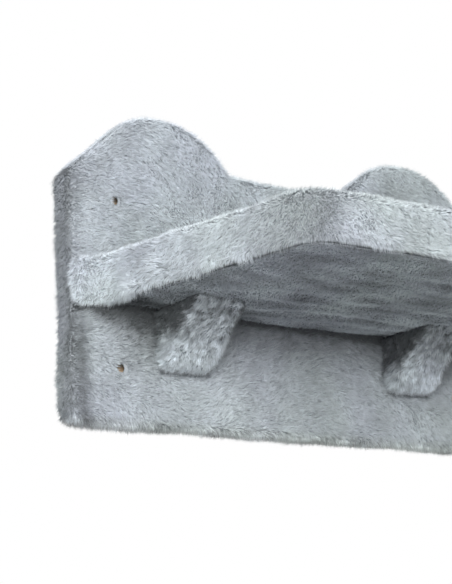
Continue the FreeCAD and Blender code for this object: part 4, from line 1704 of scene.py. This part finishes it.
@dataclass
class BracketCover:
    """The coarse plush glued round one wedge bracket."""

    side: Side
    low: Vector
    high: Vector
    # Share of the height over which the painted shade on the sides grows in, going up.
    shaded: Span
    toe: float = 17 * MM
    skin_lift: float = 10.5 * MM
    upper_ease: float = 8 * MM
    corner: float = 8 * MM
    rear_gap: float = 4 * MM
    cloth: float = 1.6 * MM
    style: PileStyle = PileStyle(9 * MM, 0.6 * MM, 2.0, 58, 12, 13, 26, 6 * MM, 0.3)
    nap: Swirl = Swirl((-0.95, 0.5, -0.65), 0.25, 0.2, 95)

    @property
    def centre(self) -> float:
        """X of the bracket's middle."""
        return (self.low.x + self.high.x) / 2

    @property
    def half(self) -> float:
        """Half the width over the sheet."""
        return (self.high.x - self.low.x) / 2 + self.skin_lift

    @property
    def bottom(self) -> float:
        """Level of the sheet's underside."""
        return self.low.z - self.skin_lift

    def front_at(self, level: float) -> float:
        """Y of the sheet's sloping front: the wedge's own, moved out by the lift and eased above.

        Args:
            level: Height.

        Returns:
            Y of the front there.
        """
        reach = self.high.y - self.low.y
        height = self.high.z - self.low.z
        slope = (reach - self.toe) / height
        proud = self.skin_lift * math.sqrt(1 + slope ** 2)
        eased = proud - self.upper_ease * (level - self.low.z) / height
        return self.high.y - (reach - slope * (self.high.z - level)) - eased

    def section(self, half: float, front: float, rear: float, level: float) -> np.ndarray:
        """One level of the wrap: back to front along one side, across, and back along the other.

        Args:
            half: Half its width.
            front: Y of its front.
            rear: Y of its open ends.
            level: Z.

        Returns:
            Rows of X, Y and Z.
        """
        radius = min(self.corner, 0.9 * half)
        first = np.vstack([
            line((-half, rear), (-half, front + radius), 14),
            arc((-half + radius, front + radius), radius, 180, 270, 7),
            line((-half + radius, front), (0, front), 6),
        ])
        whole = np.vstack([first, [[0, front]], first[::-1] * np.array([-1, 1])])
        return np.column_stack([whole[:, 0] + self.centre, whole[:, 1], np.full(len(whole), level)])

    def sheet(self, ceiling: float) -> Cloth:
        """Cloth as a stack of U shaped sections whose front slopes back towards the toe.

        The bottom edge is a quarter circle, and below it the section draws in to a line.

        Args:
            ceiling: Level where the wrap meets the lining.

        Returns:
            The cloth.
        """
        rear = self.high.y - self.rear_gap
        rows = []
        start = self.bottom + self.corner
        for level in np.linspace(ceiling, start, 12):
            rows.append(self.section(self.half, self.front_at(level), rear, level))
        for angle in np.radians([22, 45, 68, 90]):
            inset = self.corner * (1 - math.cos(angle))
            level = start - self.corner * math.sin(angle)
            rows.append(self.section(self.half - inset, self.front_at(level) + inset, rear, level))
        bottom_half = self.half - self.corner
        bottom_front = self.front_at(self.bottom) + self.corner
        for share in (0.66, 0.33, 0.04):
            front = rear + (bottom_front - rear) * (0.5 + share / 2)
            rows.append(self.section(bottom_half * share, front, rear, self.bottom))
        inside = (self.centre, self.high.y - self.toe, (self.high.z + self.low.z) / 2)
        return Cloth.from_rings(np.array(rows), inside, False)

    def brushed(self, pile: Pile) -> Pile:
        """Paint shade on the sides and underside, shelf shadow on the top and light on the toe.

        Args:
            pile: Pile over the wrap.

        Returns:
            The same pile, shaded.
        """
        z = pile.roots[:, 2]
        side = ramp_up(np.abs(pile.normals[:, 0]), 0.45, 0.85)
        climb = (z - self.bottom) / (self.high.z - self.bottom)
        under = ramp_up(-pile.normals[:, 2], 0.85, 0.97)
        clump = SmoothNoise(241, 9 * MM).value(pile.roots)
        # Painted shadow of the shelf on the upper part, painted light on the toe, painted shade on the sides
        # and underside.
        pile.shade = 1.7 * pile.shade + clump + 1.2 - 3.8 * ramp_up(climb, 0.08, 0.7)
        pile.shade = pile.shade - (0.3 + 4.0 * ramp_up(climb, *self.shaded)) * side - 1.4 * under
        pile.upright = 0.45 * ramp_up(-climb, -0.35, -0.1)
        return pile

    def dress(self, shelf: ShelfCover, backing: bpy.types.Material, tufts: bpy.types.Material) -> None:
        """Build the sheet and its long coarse pile.

        Args:
            shelf: The shelf's cover, above the bracket.
            backing: Material of the sheet.
            tufts: Material of the pile.
        """
        label = self.side.label
        cloth = self.sheet(shelf.bottom - 1 * MM)
        area = cloth.area()
        piece = attach(thicken(cloth.build(f"bracket_sheet_{label}"), self.cloth), backing)
        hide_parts(f"bracket_plush_{label}")
        pile = grow(cloth, self.style, 501 + self.side.value)
        pile.nap = self.nap.at(pile.roots)
        kept = (pile.roots[:, 1] < shelf.wall_face + 2 * MM) & (pile.roots[:, 2] < shelf.bottom - 5 * MM)
        pile = self.brushed(pile.only(kept))
        pieces = build_piles(f"bracket_pile_{label}", pile, 521 + self.side.value, tufts)


@dataclass(frozen=True)
class Studio:
    """Camera, lamps, floor and background."""

    place: tuple[float, float, float] = (-0.99950, -1.27930, -0.40450)
    azimuth: float = 36.3823
    elevation: float = 14.7937
    roll: float = -3.2168
    lens: float = 105.19
    floor_level: float = -0.75
    ambient: float = 0.72
    behind: float = 0.1

    def camera(self) -> None:
        """A level camera turned by azimuth and elevation, and then rolled about its own axis."""
        data = bpy.data.cameras.new("camera")
        data.lens = self.lens
        data.sensor_width = 36
        camera = bpy.data.objects.new("camera", data)
        turn, climb = math.radians(self.azimuth), math.radians(self.elevation)
        ahead = Vector((math.sin(turn) * math.cos(climb), math.cos(turn) * math.cos(climb), math.sin(climb)))
        right = ahead.cross(Vector((0, 0, 1))).normalized()
        up = right.cross(ahead)
        roll = math.radians(self.roll)
        rolled = right * math.cos(roll) + up * math.sin(roll)
        raised = up * math.cos(roll) - right * math.sin(roll)
        matrix = Matrix((rolled, raised, -ahead)).transposed().to_4x4()
        matrix.translation = Vector(self.place)
        camera.matrix_world = matrix
        bpy.context.scene.collection.objects.link(camera)
        bpy.context.scene.camera = camera

    def lamp(self, name: str, place: tuple[float, float, float], size: float, power: float) -> None:
        """A square lamp at a place, turned towards the shelf.

        Args:
            name: Name of the lamp.
            place: Where it hangs.
            size: Width of its square.
            power: Its power in watts.
        """
        data = bpy.data.lights.new(name, "AREA")
        data.size = size
        data.energy = power
        lamp = bpy.data.objects.new(name, data)
        lamp.location = place
        lamp.rotation_euler = (Vector((0, -0.1, 0)) - Vector(place)).to_track_quat("-Z", "Y").to_euler()
        bpy.context.scene.collection.objects.link(lamp)

    def world(self) -> None:
        """A grey light, stronger from the front; the camera, gloss and glass see white instead."""
        world = bpy.data.worlds.new("studio")
        world.use_nodes = True
        tree = world.node_tree
        light = tree.nodes["Background"]
        light.inputs["Color"].default_value = (0.96, 0.98, 1.0, 1)
        toward = tree.nodes.new("ShaderNodeSeparateXYZ")
        fade = tree.nodes.new("ShaderNodeMapRange")
        ends = {"From Min": -1, "From Max": 1, "To Min": self.ambient, "To Max": self.behind}
        for name, value in ends.items():
            fade.inputs[name].default_value = value
        tree.links.new(tree.nodes.new("ShaderNodeTexCoord").outputs["Generated"], toward.inputs[0])
        tree.links.new(toward.outputs["Y"], fade.inputs["Value"])
        tree.links.new(fade.outputs["Result"], light.inputs["Strength"])
        white = tree.nodes.new("ShaderNodeBackground")
        white.inputs["Color"].default_value = (1, 1, 1, 1)
        white.inputs["Strength"].default_value = 1
        path = tree.nodes.new("ShaderNodeLightPath")
        total = path.outputs["Is Camera Ray"]
        for kind in ("Is Glossy Ray", "Is Transmission Ray"):
            most = tree.nodes.new("ShaderNodeMath")
            most.operation = "MAXIMUM"
            tree.links.new(total, most.inputs[0])
            tree.links.new(path.outputs[kind], most.inputs[1])
            total = most.outputs[0]
        mix = tree.nodes.new("ShaderNodeMixShader")
        tree.links.new(total, mix.inputs[0])
        tree.links.new(light.outputs[0], mix.inputs[1])
        tree.links.new(white.outputs[0], mix.inputs[2])
        tree.links.new(mix.outputs[0], tree.nodes["World Output"].inputs["Surface"])
        bpy.context.scene.world = world

    def floor(self) -> None:
        """A wide pale floor well below the shelf."""
        reach = 6.0
        corners = [(-reach, -reach), (reach, -reach), (reach, reach), (-reach, reach)]
        mesh = bpy.data.meshes.new("floor")
        mesh.from_pydata([(x, y, self.floor_level) for x, y in corners], [], [(0, 1, 2, 3)])
        nodes = Nodes("floor", 0.9)
        nodes.shader.inputs["Base Color"].default_value = (0.86, 0.86, 0.86, 1)
        mesh.materials.append(nodes.material)
        floor = bpy.data.objects.new("floor", mesh)
        bpy.context.scene.collection.objects.link(floor)

    def build(self) -> None:
        """Everything round the object."""
        self.camera()
        self.world()
        self.floor()
        self.lamp("key", (-1.4, -1.95, 0.35), 1.0, 95)
        self.lamp("fill", (-0.1, -2.3, -0.3), 2.0, 10)
        bpy.context.scene.view_settings.view_transform = "Standard"


def finish_frame() -> None:
    """Give the carried over boards, wedges, screws and staples their materials."""
    board = WoodFinish("painted_shadow_board", (0.36, 0.25, 0.15), (0.52, 0.38, 0.24), (1, 1, 1)).material()
    pine = WoodFinish("pine", (0.48, 0.33, 0.18), (0.66, 0.50, 0.31), (1, 0.15, 1)).material()
    dull, bright = (0.35, (0.46, 0.47, 0.49)), (0.65, (0.68, 0.68, 0.70))
    steel = PatchFinish("zinc_plate", dull, bright, scale=500, detail=2, depth=0.05 * MM,
                        strength=0.3, roughness=0.34, metallic=1.0).material()
    chosen = {
        "back_board": board, "shelf_board": board,
        "bracket_core_left": pine, "bracket_core_right": pine,
        "back_hem_staples": steel, "shelf_hem_staples": steel, "shelf_screws": steel,
        "bracket_back_screws": steel, "bracket_top_screws": steel,
    }
    for name, material in chosen.items():
        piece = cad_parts[name]
        piece.data.materials.clear()
        piece.data.materials.append(material)
        LOG.info("%s: finished", name)


def write_sizes() -> None:
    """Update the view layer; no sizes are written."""
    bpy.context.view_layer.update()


def main() -> None:
    """Build the covers in order, then the studio."""
    logging.basicConfig(level=logging.INFO, format="%(message)s")
    tufts = PileFinish(
        "plush_pile", (0.40, 0.435, 0.455), (0.53, 0.57, 0.595), (0.64, 0.69, 0.715)).material()
    coarse = PileFinish(
        "coarse_pile", (0.18, 0.20, 0.215), (0.44, 0.48, 0.505), (0.68, 0.73, 0.755)).material()
    nap = PileFinish(
        "lining_pile", (0.20, 0.215, 0.23), (0.30, 0.33, 0.35), (0.40, 0.435, 0.46)).material()
    # Away from the wall the plush backing keeps half its colour, as painted shade between the tufts; the
    # lining cloth keeps all of it.
    backing = BackingFinish("plush_backing", (0.34, 0.37, 0.39), (0.52, 0.56, 0.59), 0.5).material()
    lining_cloth = BackingFinish("lining_cloth", (0.18, 0.195, 0.21), (0.29, 0.315, 0.335), 1.0).material()
    pores, crumb = (0.4, (0.62, 0.60, 0.52)), (0.6, (0.84, 0.82, 0.74))
    foam = PatchFinish("seat_foam", pores, crumb, scale=1200, detail=4, depth=0.6 * MM,
                       strength=0.8, roughness=0.95).material()

    board_low, board_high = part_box("back_board")
    shelf_low, shelf_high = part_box("shelf_board")
    pad_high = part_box("shelf_pad")[1]
    wall_face = -33 * MM
    shelf = ShelfCover(shelf_low, shelf_high, pad_high, wall_face)
    brackets = []
    for side in Side:
        low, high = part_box(f"bracket_core_{side.label}")
        # The left bracket's painted side shade starts higher up than the right one's.
        shaded = (0.3, 0.75) if side is Side.LEFT else (0.1, 0.5)
        brackets.append(BracketCover(side, low, high, shaded))

    finish_frame()
    BackCover(board_low, board_high).dress(shelf, brackets, backing, tufts)
    shelf.dress(backing, tufts)
    shelf.pad(foam)
    Lining(shelf).dress(lining_cloth, nap)
    for bracket in brackets:
        bracket.dress(shelf, backing, coarse)
    Studio().build()
    write_sizes()


if __name__ == "__main__":
    main()
